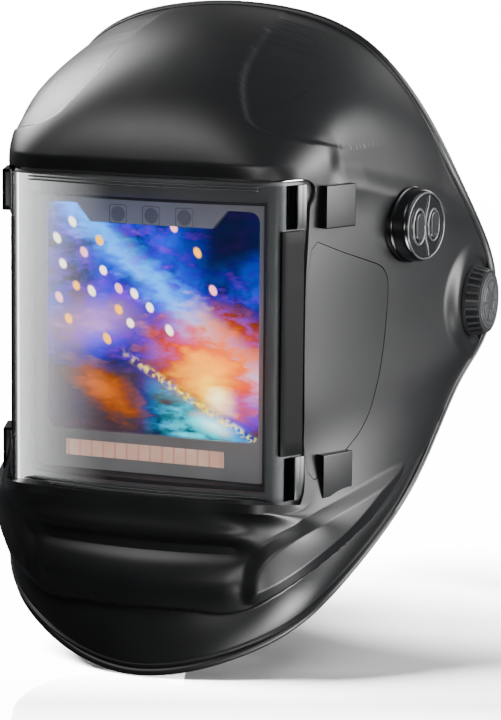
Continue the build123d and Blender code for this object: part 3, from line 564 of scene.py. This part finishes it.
def outline_distance(points, outline):
    """Signed distance to a closed outline, negative inside."""
    outline = cut_corners(outline, 0.25, 3)
    best = np.full(len(points), 1e9)
    inside = np.zeros(len(points), bool)
    x, z = points[:, 0], points[:, 1]
    for (ax, az), (bx, bz) in zip(outline, np.roll(outline, -1, axis=0)):
        dx, dz = bx - ax, bz - az
        t = np.clip(((x - ax) * dx + (z - az) * dz) / (dx * dx + dz * dz), 0, 1)
        best = np.minimum(best, (x - ax - t * dx)**2 + (z - az - t * dz)**2)
        crosses = (az > z) != (bz > z)
        inside ^= crosses & (x < ax + (z - az) * dx / (dz if dz else 1e-9))
    return np.where(inside, -1, 1) * np.sqrt(best)


def relief(grid, along):
    """How far the moulded features stand out of the smooth shell, in millimetres."""
    rows, columns = grid.shape[:2]
    p = grid.reshape(-1, 3)
    x, y, z = p.T
    v = np.repeat(along, columns)
    out = np.zeros(len(p))

    # Side panels of the crown are let in behind a bevel.
    line = dense(CROWN_CREASE)
    last = len(line) - 1
    away, index = nearest(p, line)
    order = np.argsort(line[:, 2])
    outside = (x > np.interp(z, line[order, 2], line[order, 0])) & (z > 82)
    bevel = np.interp(index / last, [0, 0.6, 1], [2.9, 2.2, 1.5])
    depth = np.interp(index / last, [0, 0.12, 0.3, 0.75, 1], [0.3, 1.6, 2.3, 2.1, 0.4])
    spread = 1.0 - smooth((away - 6.0) / 42.0)
    out -= np.where(outside, np.clip(away / bevel, 0, 1) * depth * spread, 0)

    # The brow line runs back along each side.
    brow = np.array(BROW_CREASE, float)
    brow_z = np.interp(y, brow[:, 0], brow[:, 1])
    above = (z - brow_z) * 0.95
    run = smooth((y + 118) / 10) * (1 - smooth((y + 30) / 26)) * (x > 60)
    ridge = np.where(above < 0, 1.3 * np.clip(1 + above / 13.0, 0, 1)**2,
                     1.3 - 2.6 * smooth(above / 12.0) + 1.3 * smooth((above - 14) / 26.0))
    out += ridge * run

    # Chamfer under the brow, down to the lens.
    front = (v > 0.6) & (z > 60)
    under = np.clip((76.0 - z) / 6.5, 0, 1) * (1 - smooth((x - 62) / 12.0))
    out -= np.where(front, 3.2 * under, 0)

    # Raised jaw pads.
    sideways = x * math.cos(JAW_TURN) + (y + 150.0) * math.sin(JAW_TURN)
    pad = outline_distance(np.stack([sideways, z], 1), JAW_OUTLINE)
    out += np.where(z < -60, 2.5 * np.clip(-pad / 6.0, 0, 1), 0)

    # Chin: a lip under the lens, a hollow, a bulge, and an undercut above the rim.
    middle = 1 - smooth((sideways - 40) / 20.0)
    lip = 1.6 * np.exp(-((z + 94.0) / 4.5)**2) - 3.3 * np.exp(-((z + 102.0) / 4.8)**2)
    bulge = 2.4 * np.exp(-((z + 117.5) / 8.0)**2)
    out += np.where(z < -84, (lip + bulge) * middle, 0)
    crease = dense(CHIN_CREASE)
    away, index = nearest(p, crease)
    _, flat = nearest(crease, p)
    order = np.argsort(flat % columns)
    crease_v = np.interp(np.arange(columns), (flat % columns)[order], along[(flat // columns)[order]])
    side = np.where(v > np.tile(crease_v, rows), away, -away)
    fade = np.interp(index / last, [0, 0.85, 1], [1, 1, 0.25])
    step = smooth((side + 1.4) / 2.8)
    low = -3.0 * np.exp(-np.maximum(-side, 0) / 12.0)
    high = 1.0 * np.exp(-np.maximum(side, 0) / 8.0)
    near_chin = np.where(z < -55, 1.0, 0.0)
    out += (low * (1 - step) + high * step) * fade * near_chin * (1 - smooth((away - 18) / 18.0))
    # The rim itself stays where it is.
    out *= smooth(v / 0.05)
    return out.reshape(rows, columns)


def shaped_shell(across, along):
    """Outer points with every moulded feature, the plain points and the normals."""
    plain = shell_grid(across, along)
    normal = grid_normals(plain)
    for column, u in ((0, across[0]), (-1, across[-1])):
        if u in (0.0, 1.0):
            normal[:, column, 0] = 0.0
    normal = unit(normal)
    shaped = plain + normal * relief(plain, along)[..., None]
    # The plateau rises from a wide foot and is cut back sharply where the shell stands proud of it.
    reach = np.hypot(shaped[..., 1] - BOSS_MIDDLE[0], shaped[..., 2] - BOSS_MIDDLE[1])
    blend = np.where(shaped[..., 0] < BOSS_X, smooth((29.0 - reach) / 7.5), smooth((21.2 - reach) / 1.4))
    blend = blend * (shaped[..., 0] > 60)
    shaped[..., 0] += blend * (BOSS_X - shaped[..., 0])
    return shaped, plain, normal


def edge_steps(plain, across):
    """Where the sheet goes on past the lens opening: back under the brow, forward beside the window
    panel, and up to the lens at the chin."""
    index = across * (len(SHELL_COLUMNS) - 1)
    tangent = unit(plain[-1] - plain[-2])
    brow = (1 - smooth((index - 2.9) / 1.0))[:, None]
    chin = smooth((index - 9.7) / 0.9)[:, None]
    side = 1 - brow - chin
    return brow * np.array([0.0, 4.5, -1.0]) + side * tangent * 6.0 + chin * np.array([0.0, 0.4, 4.2])


COLUMNS_HALF = 321
ROWS = 131
SKIP = 5                # the inner skin keeps one row in five


def build_shell():
    across = np.linspace(0, 1, COLUMNS_HALF)
    along = np.linspace(0, 1, ROWS)
    shaped, plain, normal = shaped_shell(across, along)
    step = edge_steps(plain, across)
    more = [shaped[-1] + step * t for t in (0.25, 0.5, 0.75, 1.0)]
    inner_rows = list(range(ROWS - 1, -1, -SKIP))
    edge_in = plain[-1] + step - normal[-1] * WALL
    inside = [edge_in] + [plain[r] - normal[r] * WALL for r in inner_rows]
    full = both_halves(np.concatenate([shaped, np.array(more), np.array(inside)]))
    rows, columns = full.shape[:2]
    faces = grid_faces(rows, columns, close_rows=True, close_columns=True)
    shell = add_piece("shell_skin", full.reshape(-1, 3), faces, "shell_black", "shell", 40.0)
    return shell, plain, normal


def outline_prism(name, outline, x0, x1, mirror=True):
    """A closed prism along X with rounded corners, used to cut the side windows."""
    points = cut_corners(outline, 0.2, 2)
    count = len(points)
    made = bmesh.new()
    for sign in ((1, -1) if mirror else (1,)):
        ends = [[made.verts.new((sign * x * MM, y * MM, z * MM)) for y, z in points] for x in (x0, x1)]
        made.faces.new(ends[0])
        made.faces.new(ends[1])
        for k in range(count):
            made.faces.new((ends[0][k], ends[0][(k + 1) % count], ends[1][(k + 1) % count], ends[1][k]))
    bmesh.ops.recalc_face_normals(made, faces=made.faces)
    mesh = bpy.data.meshes.new(name)
    made.to_mesh(mesh)
    made.free()
    return add_object(name, mesh)


def boolean(piece, tool, operation):
    modifier = piece.modifiers.new("cut", "BOOLEAN")
    modifier.operation = operation
    modifier.object = tool
    modifier.solver = "EXACT"
    apply_modifiers(piece)
    bpy.data.objects.remove(tool)


def apply_modifiers(piece):
    """The piece's mesh with its modifiers, and the modifiers gone."""
    bpy.context.view_layer.update()
    graph = bpy.context.evaluated_depsgraph_get()
    mesh = bpy.data.meshes.new_from_object(piece.evaluated_get(graph), depsgraph=graph)
    piece.modifiers.clear()
    piece.data = mesh


def grow(outline, distance):
    """The outline moved outwards, for clearances."""
    points = np.array(outline, float)
    return points + unit(points - points.mean(0)) * distance


WINDOW = [(-128.7, 43), (-108, 34.8), (-88, 28.4), (-80, 25.7), (-75.2, 21.0), (-73.6, 14), (-74, 4),
          (-75.5, -10.6), (-79, -26), (-86, -42.5), (-94, -51.5), (-104.6, -58.5), (-116, -65.5),
          (-128.7, -72)]

shell_piece, plain_half, normal_half = build_shell()
boolean(shell_piece, outline_prism("window_cut", WINDOW, 60, 130), "DIFFERENCE")
finish_mesh(shell_piece.data, 40.0)
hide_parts("shell")


def side_pane(name, sign):
    """Tinted pane, flush with the shell."""
    across = np.linspace(0.26, 0.75, 120)
    along = np.linspace(0.3, 1, 70)
    plain = shell_grid(across, along)
    normal = grid_normals(plain)
    step = edge_steps(plain, across)
    front = [plain[-1] + step * t for t in (0.5, 1.0)]
    outer = np.concatenate([plain, np.array(front)])
    normals = np.concatenate([normal, normal[-1:], normal[-1:]])
    rows, columns = outer.shape[:2]
    points = np.concatenate([(outer - normals * 0.1).reshape(-1, 3), (outer - normals * 2.4).reshape(-1, 3)])
    points = points * np.array([sign, 1, 1])
    faces = grid_faces(rows, columns)
    faces += [tuple(i + rows * columns for i in reversed(face)) for face in faces]
    border = [(0, c) for c in range(columns)] + [(r, columns - 1) for r in range(1, rows)]
    border += [(rows - 1, c) for c in range(columns - 2, -1, -1)] + [(r, 0) for r in range(rows - 2, 0, -1)]
    ids = [r * columns + c for r, c in border]
    for a, b in zip(ids, ids[1:] + ids[:1]):
        faces.append((a, b, b + rows * columns, a + rows * columns))
    pane = add_piece(name, points, faces, "tinted_window", "shell")
    ends = (60, 130) if sign > 0 else (-130, -60)
    boolean(pane, outline_prism("pane_cut", grow(WINDOW, -0.45), *ends, mirror=False), "INTERSECT")
    finish_mesh(pane.data, 40.0)
    return pane


for side_name, sign in SIDES:
    pane = side_pane(f"side_pane_{side_name}", sign)
    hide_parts(f"side_window_{side_name}")

# Rolled bead all round the rim, with a fine groove inside it.
BEAD = [(-3.6, -0.25), (-3.3, 0.45), (-2.7, 0.62), (-2.1, 0.4), (-1.85, -0.25), (-1.45, -0.45),
        (-1.1, 0.3), (-0.4, 1.15), (0.6, 1.5), (1.6, 1.25), (2.3, 0.4), (2.45, -0.7), (2.1, -1.9),
        (1.2, -2.8), (-0.2, -3.2), (-2.0, -3.2), (-3.6, -2.9)]


def build_bead():
    rim = plain_half[0]
    out = rim - plain_half[3]
    normal = normal_half[0]
    out -= (out * normal).sum(1, keepdims=True) * normal
    for vectors in (out, normal):
        vectors[0, 0] = 0.0
        vectors[-1, 0] = 0.0
    out = unit(out)
    full = both_halves(np.stack([rim + out * e + normal * n for e, n in BEAD]))
    rows, columns = full.shape[:2]
    faces = grid_faces(rows, columns, True, True)
    add_piece("rim_bead", full.reshape(-1, 3), faces, "shell_black", "shell", 50.0)


build_bead()


# ---------------------------------------------------------------- window panel, pillars, catches

LENS_Y = -150.0
LENS_RADIUS = 296.0
LENS_SLOPE = 0.467
LENS_CORNER = 8.0
LENS_SIDE = (71.0, -137.0)     # a point on each straight side, seen from above


def lens_curve(inset, back_y):
    """Half of the lens outline seen from above, from the middle round to the side."""
    front, corner, side = 30, 8, 12     # steps along each stretch
    radius = LENS_RADIUS - inset
    corner_radius = max(LENS_CORNER - inset, 1.0)
    length = math.hypot(1, LENS_SLOPE)
    along = np.array([LENS_SLOPE, 1.0]) / length
    inward = np.array([-1.0, LENS_SLOPE]) / length
    centre = np.array([0.0, LENS_Y + LENS_RADIUS])
    start = np.array(LENS_SIDE) + (inset + corner_radius) * inward
    offset = start - centre
    b = offset @ along
    c = offset @ offset - (radius - corner_radius)**2
    corner_centre = start + along * (-b - math.sqrt(b * b - c))
    toward = unit(corner_centre - centre)
    limit = math.atan2(toward[0], -toward[1])
    points = [(radius * math.sin(a), centre[1] - radius * math.cos(a)) for a in np.linspace(0, limit, front)]
    last = math.atan2(-inward[0], inward[1])
    for a in np.linspace(limit, last, corner + 1)[1:]:
        turned = np.array([math.sin(a), -math.cos(a)])
        points.append(tuple(corner_centre + corner_radius * turned))
    end = points[-1]
    for t in np.linspace(0, 1, side + 1)[1:]:
        y = end[1] + (back_y - end[1]) * t
        points.append((end[0] + (y - end[1]) * LENS_SLOPE, y))
    return np.array(points)


def with_stop(curves, stop_x):
    """The front and rear curves with one more point each, where the front one crosses stop_x."""
    front_x = curves[0][:, 0]
    index = int(np.argmax(front_x > stop_x))
    t = (stop_x - front_x[index - 1]) / (front_x[index] - front_x[index - 1])
    return [np.insert(c, index, c[index - 1] + (c[index] - c[index - 1]) * t, 0) for c in curves]


def plate(name, inset, thickness, heights, slot, body, keep, back_y=-110.0, stops=()):
    """A curved plate that follows the lens, with the cells that keep(x, z) accepts."""
    curves = [lens_curve(inset, back_y), lens_curve(inset + thickness, back_y)]
    for stop in stops:
        curves = with_stop(curves, stop)
    full = [np.vstack([curve[:0:-1] * (-1, 1), curve]) for curve in curves]
    count, levels = len(full[0]), len(heights)
    points = [(x, y, z) for curve in full for z in heights for x, y in curve]
    middle_x = 0.5 * (full[0][1:, 0] + full[0][:-1, 0])
    middle_z = 0.5 * (np.array(heights[1:]) + np.array(heights[:-1]))
    kept = {(i, k) for i in range(count - 1) for k in range(levels - 1) if keep(middle_x[i], middle_z[k])}
    shift = count * levels
    faces = []
    for i, k in kept:
        a, b, c, d = k * count + i, k * count + i + 1, (k + 1) * count + i + 1, (k + 1) * count + i
        faces.append((a, b, c, d))
        faces.append((d + shift, c + shift, b + shift, a + shift))
        neighbours = {(b, a): (i, k - 1), (d, c): (i, k + 1), (a, d): (i - 1, k), (c, b): (i + 1, k)}
        for (p, q), other in neighbours.items():
            if other not in kept:
                faces.append((p, q, q + shift, p + shift))
    used = sorted({i for face in faces for i in face})
    renumber = {old: new for new, old in enumerate(used)}
    faces = [tuple(renumber[i] for i in face) for face in faces]
    return add_piece(name, [points[i] for i in used], faces, slot, body, 30.0)


def bevelled(piece, width, segments=2):
    """Rounded edges on a hard piece."""
    modifier = piece.modifiers.new("bevel", "BEVEL")
    modifier.width = width * MM
    modifier.segments = segments
    modifier.limit_method = "ANGLE"
    modifier.angle_limit = math.radians(40)
    apply_modifiers(piece)
    finish_mesh(piece.data, 50.0)


OPENING_HALF = 61.0
OPENING_LOW = -74
OPENING_HIGH = 59
PILLAR_INNER = 68.3


def in_panel(x, z):
    return not (abs(x) < OPENING_HALF and OPENING_LOW < z < OPENING_HIGH)


MATERIALS["panel_grey"] = moulded("panel_grey", (0.20, 0.203, 0.208), 0.4, spread=0.06, wear=0.1)
panel_levels = [-82, OPENING_LOW, -40, 0, 40, OPENING_HIGH, 68.6]
panel = plate("window_panel", 2.0, 2.5, panel_levels, "panel_grey", "shell", in_panel,
              back_y=-121.0, stops=(OPENING_HALF,))
bevelled(panel, 0.8)
# The window pillars get a darker copy of the shell's black plastic, with less shine. The darker colour is
# painted shade.
MATERIALS["painted_shade_pillar_black"] = moulded("painted_shade_pillar_black", (0.006, 0.0062, 0.0066), 0.4, wear=0.05, specular=0.12)
pillar_piece = plate("window_pillars", 0.0, 2.4, [-57.2, -50, 0, 40, 46.2], "painted_shade_pillar_black", "shell",
                     lambda x, z: abs(x) > PILLAR_INNER, back_y=-129.0, stops=(PILLAR_INNER,))
bevelled(pillar_piece, 0.9, 3)


def catch(name, z0, z1, sign):
    """Moulded catch behind a lens ear: a rounded block with a slot in its front end."""
    made = bmesh.new()
    bmesh.ops.create_cube(made, size=1.0)
    thickness, length = 7.5, 20.0
    bmesh.ops.scale(made, vec=(thickness, length, z1 - z0), verts=made.verts)
    front = min(made.faces, key=lambda f: f.calc_center_median().y)
    bmesh.ops.inset_region(made, faces=[front], thickness=1.9)
    bmesh.ops.translate(made, vec=(0.6, 4.2, 0.0), verts=front.verts)
    edges = [e for e in made.edges if e.calc_length() > 3.0]
    bmesh.ops.bevel(made, geom=edges, offset=0.75, segments=3, affect="EDGES", profile=0.6)
    centre = Matrix.Translation((82.9, -112.6, 0.5 * (z0 + z1)))
    along_side = Matrix.Rotation(math.radians(-21.4), 4, "Z")
    bmesh.ops.transform(made, matrix=centre @ along_side, verts=made.verts)
    points = [(v.co.x * sign, v.co.y, v.co.z) for v in made.verts]
    made.verts.index_update()
    faces = [tuple(v.index for v in f.verts) for f in made.faces]
    made.free()
    add_piece(name, points, faces, "shell_black", "shell", 45.0)


for side_name, sign in SIDES:
    catch(f"catch_upper_{side_name}", 46.4, 66.2, sign)
    catch(f"catch_lower_{side_name}", -78.4, -58.2, sign)


# ---------------------------------------------------------------- cover lens details

MATERIALS["lens_edge"] = moulded("lens_edge", (0.07, 0.072, 0.075), 0.22, depth=0.00001, spread=0.04,
                                 wear=0.1, coat=0.5)
LINE_HALF = 58.0
LINE_PROUD = 0.45
for strip_name, z0, z1 in (("lens_line_1", 64.2, 64.9), ("lens_line_2", 65.7, 66.4),
                           ("lens_line_3", -76.6, -75.9), ("lens_line_4", -77.9, -77.3)):
    strip = plate(strip_name, -LINE_PROUD, LINE_PROUD + 0.2, [z0, z1], "lens_edge", "cover_lens",
                  lambda x, z: abs(x) < LINE_HALF, stops=(LINE_HALF,))
    bevelled(strip, 0.2)


def ear_x(y):
    """Half-width of the lens at a depth y along its straight sides."""
    return LENS_SIDE[0] + (y - LENS_SIDE[1]) * LENS_SLOPE


for rib_name, low_y, high_y in (("lens_rib_1", -130.9, -129.9), ("lens_rib_2", -129.0, -127.8)):
    def near_end(x, z, low_y=low_y, high_y=high_y):
        return abs(abs(x) - ear_x(0.5 * (low_y + high_y))) < 0.4 and (z > 47 or z < -58)

    rib = plate(rib_name, -0.6, 0.8, [-78, -58, 47, 67], "lens_edge", "cover_lens", near_end,
                stops=(ear_x(low_y) + 0.65, ear_x(high_y) + 0.65))
    bevelled(rib, 0.25)


# ---------------------------------------------------------------- control pod and tension knobs

def tube(name, path, radius, slot, body, closed=True, sides=10):
    """A round bead along a path of points in millimetres."""
    path = np.array(path, float)
    count = len(path)
    if closed:
        tangent = np.roll(path, -1, axis=0) - np.roll(path, 1, axis=0)
    else:
        tangent = np.gradient(path, axis=0)
    tangent = unit(tangent)
    across = unit(np.cross(tangent[0], (0.31, 0.22, 0.92)))     # any direction off the path would do
    rings = []
    for point, ahead in zip(path, tangent):
        across = unit(across - ahead * (across @ ahead))
        beside = np.cross(ahead, across)
        angles = np.linspace(0, 2 * math.pi, sides, endpoint=False)
        rings.append([point + radius * (math.cos(a) * across + math.sin(a) * beside) for a in angles])
    faces = grid_faces(count, sides, True, True) if closed else stack_faces(count, sides)
    add_piece(name, np.array(rings).reshape(-1, 3), faces, slot, body)


# A paler, glossier copy of the pod's black plastic on its edge beads, button rims and ridge: painted
# highlight along those edges.
MATERIALS["bright_black"] = moulded("bright_black", (0.10, 0.102, 0.108), 0.16, depth=0.00001, spread=0.04,
                                    wear=0.2, coat=0.5)
POD_TILT = math.radians(13.0)
POD_CENTRE = np.array([99.4, -60.0, 43.0])
POD_OUT = np.array([math.cos(POD_TILT), -math.sin(POD_TILT), 0.0])
POD_BACK = np.array([math.sin(POD_TILT), math.cos(POD_TILT), 0.0])
POD_TOP = 9.5


def on_pod(up, back, out):
    """A point on the pod: up, towards the back and out from the shell, in millimetres."""
    return POD_CENTRE + POD_OUT * out + POD_BACK * back + np.array([0.0, 0.0, up])


def pod_loop(middle, half_up, half_back, out, count=64):
    turns = np.linspace(0, 2 * math.pi, count, endpoint=False)
    return [on_pod(half_up * math.sin(a), middle + half_back * math.cos(a), out) for a in turns]


tube("pod_edge_bead", pod_loop(0.0, 15.5, 15.5, POD_TOP + 0.05, 96), 0.55, "bright_black", "shell")
tube("pod_foot_bead", pod_loop(0.0, 17.3, 17.3, 1.4, 96), 0.7, "gloss_black", "shell")
tube("mode_button_rim", pod_loop(-6.2, 8.3, 5.0, POD_TOP + 0.1), 0.75, "bright_black", "shell")
tube("grind_button_rim", pod_loop(6.2, 7.4, 4.6, POD_TOP + 0.1), 0.65, "bright_black", "shell")
ridge = dense([(14.2, 2.6), (9.5, 1.6), (5.0, -0.2), (0.0, -0.5), (-5.0, -0.2), (-9.5, 1.6), (-14.2, 2.6)],
              60)
ridge_path = [on_pod(u, b, POD_TOP + 0.05) for u, b in ridge]
tube("pod_ridge", ridge_path, 0.45, "bright_black", "shell", closed=False)


CAP_X = 120.15          # outer face of the knob's cap
PADS = 6
PAD_POINTS = 9
RIBS = 26


def cap_face(side_name, sign):
    """Raised ring and six pads on the face of a tension knob's cap."""
    x = CAP_X * sign
    turns = np.linspace(0, 2 * math.pi, 72, endpoint=False)
    ring = [(x, 11.3 * math.cos(a), 11.3 * math.sin(a)) for a in turns]
    tube(f"cap_ring_{side_name}", ring, 0.55, "knob_cap", f"tension_knob_{side_name}")
    points, faces = [], []
    turn, gap = 2 * math.pi / PADS, 0.12
    for pad in range(PADS):
        angles = np.linspace(pad * turn + gap, (pad + 1) * turn - gap, PAD_POINTS)
        start = len(points)
        for depth, low, high in ((-0.3, 4.6, 9.4), (0.35, 4.6, 9.4), (0.6, 4.95, 9.05)):
            for radius, run in ((low, angles), (high, angles[::-1])):
                points += [(x + sign * depth, radius * math.cos(a), radius * math.sin(a)) for a in run]
        faces += stack_faces(3, 2 * PAD_POINTS, start)
    add_piece(f"cap_pads_{side_name}", points, faces, "knob_cap", f"tension_knob_{side_name}", 30.0)


def knob_ribs(side_name, sign):
    """Bright chamfered lines along the grip of a tension knob."""
    points, faces = [], []
    for rib in range(RIBS):
        middle = (rib + 0.5) * 2 * math.pi / RIBS
        start = len(points)
        for x, radius in ((113.2, 16.75), (119.0, 15.4)):
            for spread, lift in ((-0.050, -0.6), (-0.034, 0.35), (0.034, 0.35), (0.050, -0.6)):
                a = middle + spread
                points.append((x * sign, (radius + lift) * math.cos(a), (radius + lift) * math.sin(a)))
        faces += stack_faces(2, 4, start)
    add_piece(f"knob_ribs_{side_name}", points, faces, "knob_black", f"tension_knob_{side_name}", 30.0)


for side_name, sign in SIDES:
    cap_face(side_name, sign)
    knob_ribs(side_name, sign)


def sensor_frames():
    """Thin square outlines round the three arc sensors."""
    for index in (-1, 0, 1):
        x, z, half = 16.8 * index, 49.3, 4.3
        path = [(x - half, z - half), (x + half, z - half), (x + half, z + half), (x - half, z + half)]
        corners = []
        for (ax, az), (bx, bz) in zip(path, path[1:] + path[:1]):
            corners += [(ax + (bx - ax) * t, -134.05, az + (bz - az) * t) for t in (0.08, 0.3, 0.7, 0.92)]
        tube(f"sensor_frame_{index + 2}", corners, 0.22, "sensor_dark", "shell", sides=6)


sensor_frames()


# ---------------------------------------------------------------- sweatband and rear pad

VOXEL = 0.0026          # metres
COVER_INSET = 0.0005    # metres
STITCH_HALF = 0.0115    # radians of turn to each side of a line of stitching
CLOTH_STEPS = 20


def cushion(node, body, spacing, swell):
    """A quilted foam pad: the cover puffs out between lines of stitching. The spacing is in radians and
    the swell in millimetres."""
    source = frame["nodes"][node]
    mesh = source.data.copy()
    mesh.transform(source.matrix_world)
    piece = add_object(f"{node}_quilted", mesh)
    remesh = piece.modifiers.new("remesh", "REMESH")
    remesh.mode = "VOXEL"
    remesh.voxel_size = VOXEL
    apply_modifiers(piece)
    rest = vertex_points(piece.data)
    made = bmesh.new()
    made.from_mesh(piece.data)
    made.normal_update()
    normals = np.array([v.normal[:] for v in made.verts])
    made.free()
    rest = rest - normals * COVER_INSET
    piece.data.vertices.foreach_set("co", rest.ravel())
    angle = np.arctan2(rest[:, 0], np.abs(rest[:, 1]) + 0.02)
    run = angle / spacing
    from_stitch = np.abs(run - np.round(run))
    group = piece.vertex_groups.new(name="stitches")
    stitched = np.nonzero(from_stitch * spacing < STITCH_HALF)[0]
    group.add([int(i) for i in stitched], 1.0, "REPLACE")
    cloth = piece.modifiers.new("cloth", "CLOTH")
    cloth.settings.use_pressure = True
    cloth.settings.uniform_pressure_force = 4.0
    cloth.settings.effector_weights.gravity = 0.0
    cloth.settings.vertex_group_mass = "stitches"
    cloth.settings.tension_stiffness = 12.0
    cloth.settings.bending_stiffness = 0.3
    for step in range(1, CLOTH_STEPS + 1):
        SCENE.frame_set(step)
    graph = bpy.context.evaluated_depsgraph_get()
    shift = vertex_points(piece.evaluated_get(graph).data) - rest
    length = np.linalg.norm(shift, axis=1, keepdims=True)
    crowned = rest + shift * np.minimum(1.0, swell * MM / np.maximum(length, 1e-9))
    piece.modifiers.clear()
    SCENE.frame_set(1)
    piece.data.vertices.foreach_set("co", crowned.ravel())
    finer = piece.modifiers.new("finer", "SUBSURF")
    finer.levels = 1
    apply_modifiers(piece)
    piece.data.materials.clear()
    piece.data.materials.append(MATERIALS["sweat_fabric"])
    finish_mesh(piece.data, 80.0)
    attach(piece, body)
    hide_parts(node)


cushion("sweatband", "headgear", 0.26, 1.3)
cushion("rear_pad", "rear_cradle", 0.2, 1.3)


# ---------------------------------------------------------------- floor and light

GROUND = -164.6
CONTACT_Y = -150.0


def build_floor():
    """A white floor: matt, with a faint polished reflection in front of the chin."""
    mesh = bpy.data.meshes.new("floor")
    size = 9.0
    z = GROUND * MM
    corners = [(-size, -size, z), (size, -size, z), (size, size, z), (-size, size, z)]
    mesh.from_pydata(corners, [], [(0, 1, 2, 3)])
    floor = add_object("floor", mesh)
    s = Shader("floor", (0.93, 0.93, 0.93), 0.55, specular=0.0)
    s.base(s.mix(s.ramp(s.noise(9.0, 3.0), 0.3, 0.7), (0.92, 0.92, 0.92), (0.94, 0.94, 0.94)))
    x, y, _ = s.axes()
    toward = s.math("ADD", s.math("MULTIPLY", x, math.sin(camera_azimuth)),
                    s.math("MULTIPLY", y, -math.cos(camera_azimuth)))
    line = -CONTACT_Y * MM * math.cos(camera_azimuth)
    rise = s.ramp(toward, line - 0.010, line + 0.05, 0.0, 0.75)
    fall = s.ramp(toward, line + 0.02, line + 0.20, 1.0, 0.15)
    mirror = s.node("ShaderNodeBsdfGlossy", {"Roughness": 0.0})
    s.surface(s.blend(s.math("MULTIPLY", rise, fall), s.shader.outputs[0], mirror.outputs[0]))
    mesh.materials.append(s.material)
    floor.visible_glossy = False
    floor.visible_diffuse = False
    return floor


LIGHT_AIM = Vector((0.0, -0.05, -0.01))


def glow_panel(name, azimuth, elevation, distance, size, strength, only):
    """A large soft light whose edges fade out."""
    direction = heading(math.radians(azimuth), math.radians(elevation))
    mesh = bpy.data.meshes.new(name)
    w, h = size[0] / 2, size[1] / 2
    mesh.from_pydata([(-w, -h, 0), (w, -h, 0), (w, h, 0), (-w, h, 0)], [], [(0, 1, 2, 3)])
    panel = add_object(name, mesh)
    s = Shader(name, (1.0, 1.0, 1.0), 0.5)
    x, y, _ = s.axes()
    fade_x, fade_y = [s.math("POWER", s.ramp(s.math("ABSOLUTE", axis), 0.0, half, 1.0, 0.0), 1.5)
                      for axis, half in ((x, w), (y, h))]
    level = s.math("MULTIPLY", s.math("MULTIPLY", fade_x, fade_y), float(strength))
    facing = s.math("SUBTRACT", 1.0, s.node("ShaderNodeNewGeometry").outputs["Backfacing"])
    emission = s.node("ShaderNodeEmission")
    s.link(s.math("MULTIPLY", level, facing), emission.inputs["Strength"])
    s.surface(emission.outputs[0])
    mesh.materials.append(s.material)
    panel.location = LIGHT_AIM + direction * distance
    panel.rotation_euler = (-direction).to_track_quat("Z", "Y").to_euler()
    panel.visible_camera = False
    panel.visible_transmission = False
    panel.visible_shadow = False
    panel.light_linking.receiver_collection = only


def light_group(name, objects):
    group = bpy.data.collections.new(name)
    for member in objects:
        group.objects.link(member)
    return group


floor = build_floor()
floor_group = light_group("floor_only", [floor])
lens_group = light_group("lens_only", [frame["nodes"]["cover_lens"]])
not_lit = [floor] + [frame["nodes"][name] for name in ("cover_lens", "inner_lens", "filter_glass")]
helmet_meshes = [o for o in SCENE.objects if o.type == "MESH" and o not in not_lit]
helmet_group = light_group("helmet_only", helmet_meshes)

glow_panel("lens_haze", -54, 2, 1.6, (1.5, 2.4), 11.0, lens_group)
glow_panel("overhead", -30, 48, 1.6, (2.4, 1.5), 6.0, helmet_group)
glow_panel("side_right", 100, 14, 1.6, (2.0, 2.2), 24.0, helmet_group)
glow_panel("low_right", 62, -34, 1.4, (1.6, 0.8), 50.0, helmet_group)
glow_panel("edge_left", -116, 34, 1.6, (1.4, 1.4), 26.0, helmet_group)
glow_panel("behind", 178, 24, 1.8, (1.8, 1.4), 5.0, helmet_group)
glow_panel("front_fill", 24, 0, 2.2, (1.6, 0.9), 14.0, helmet_group)


def floor_light(name, direction, energy, spread):
    """Light that falls on the floor only and gives the helmet's soft shadow."""
    data = bpy.data.lights.new(name, "SUN")
    data.energy = energy
    data.angle = math.radians(spread)
    sun = add_object(name, data)
    sun.rotation_euler = Vector(direction).to_track_quat("Z", "Y").to_euler()
    sun.light_linking.receiver_collection = floor_group


floor_light("floor_key", (-0.55, -0.20, 0.80), 62.0, 34)
floor_light("floor_top", (-0.15, -0.1, 1.0), 6.0, 120)


def build_world():
    """White behind the helmet and in the polished floor, dim for the light on the helmet itself."""
    world = bpy.data.worlds.new("studio")
    SCENE.world = world
    world.use_nodes = True
    tree = world.node_tree
    dim = tree.nodes["Background"]
    dim.inputs["Color"].default_value = (0.9, 0.93, 1.0, 1.0)
    dim.inputs["Strength"].default_value = 0.06
    white = add_node(tree, "ShaderNodeBackground", {"Color": (1.0, 1.0, 1.0, 1.0), "Strength": 15.0})
    path = add_node(tree, "ShaderNodeLightPath")
    either = add_node(tree, "ShaderNodeMath", operation="MAXIMUM")
    tree.links.new(path.outputs["Is Camera Ray"], either.inputs[0])
    tree.links.new(path.outputs["Is Singular Ray"], either.inputs[1])
    mixed = add_node(tree, "ShaderNodeMixShader")
    for socket, source in zip(mixed.inputs, (either, dim, white)):
        tree.links.new(source.outputs[0], socket)
    tree.links.new(mixed.outputs[0], tree.nodes["World Output"].inputs["Surface"])


build_world()
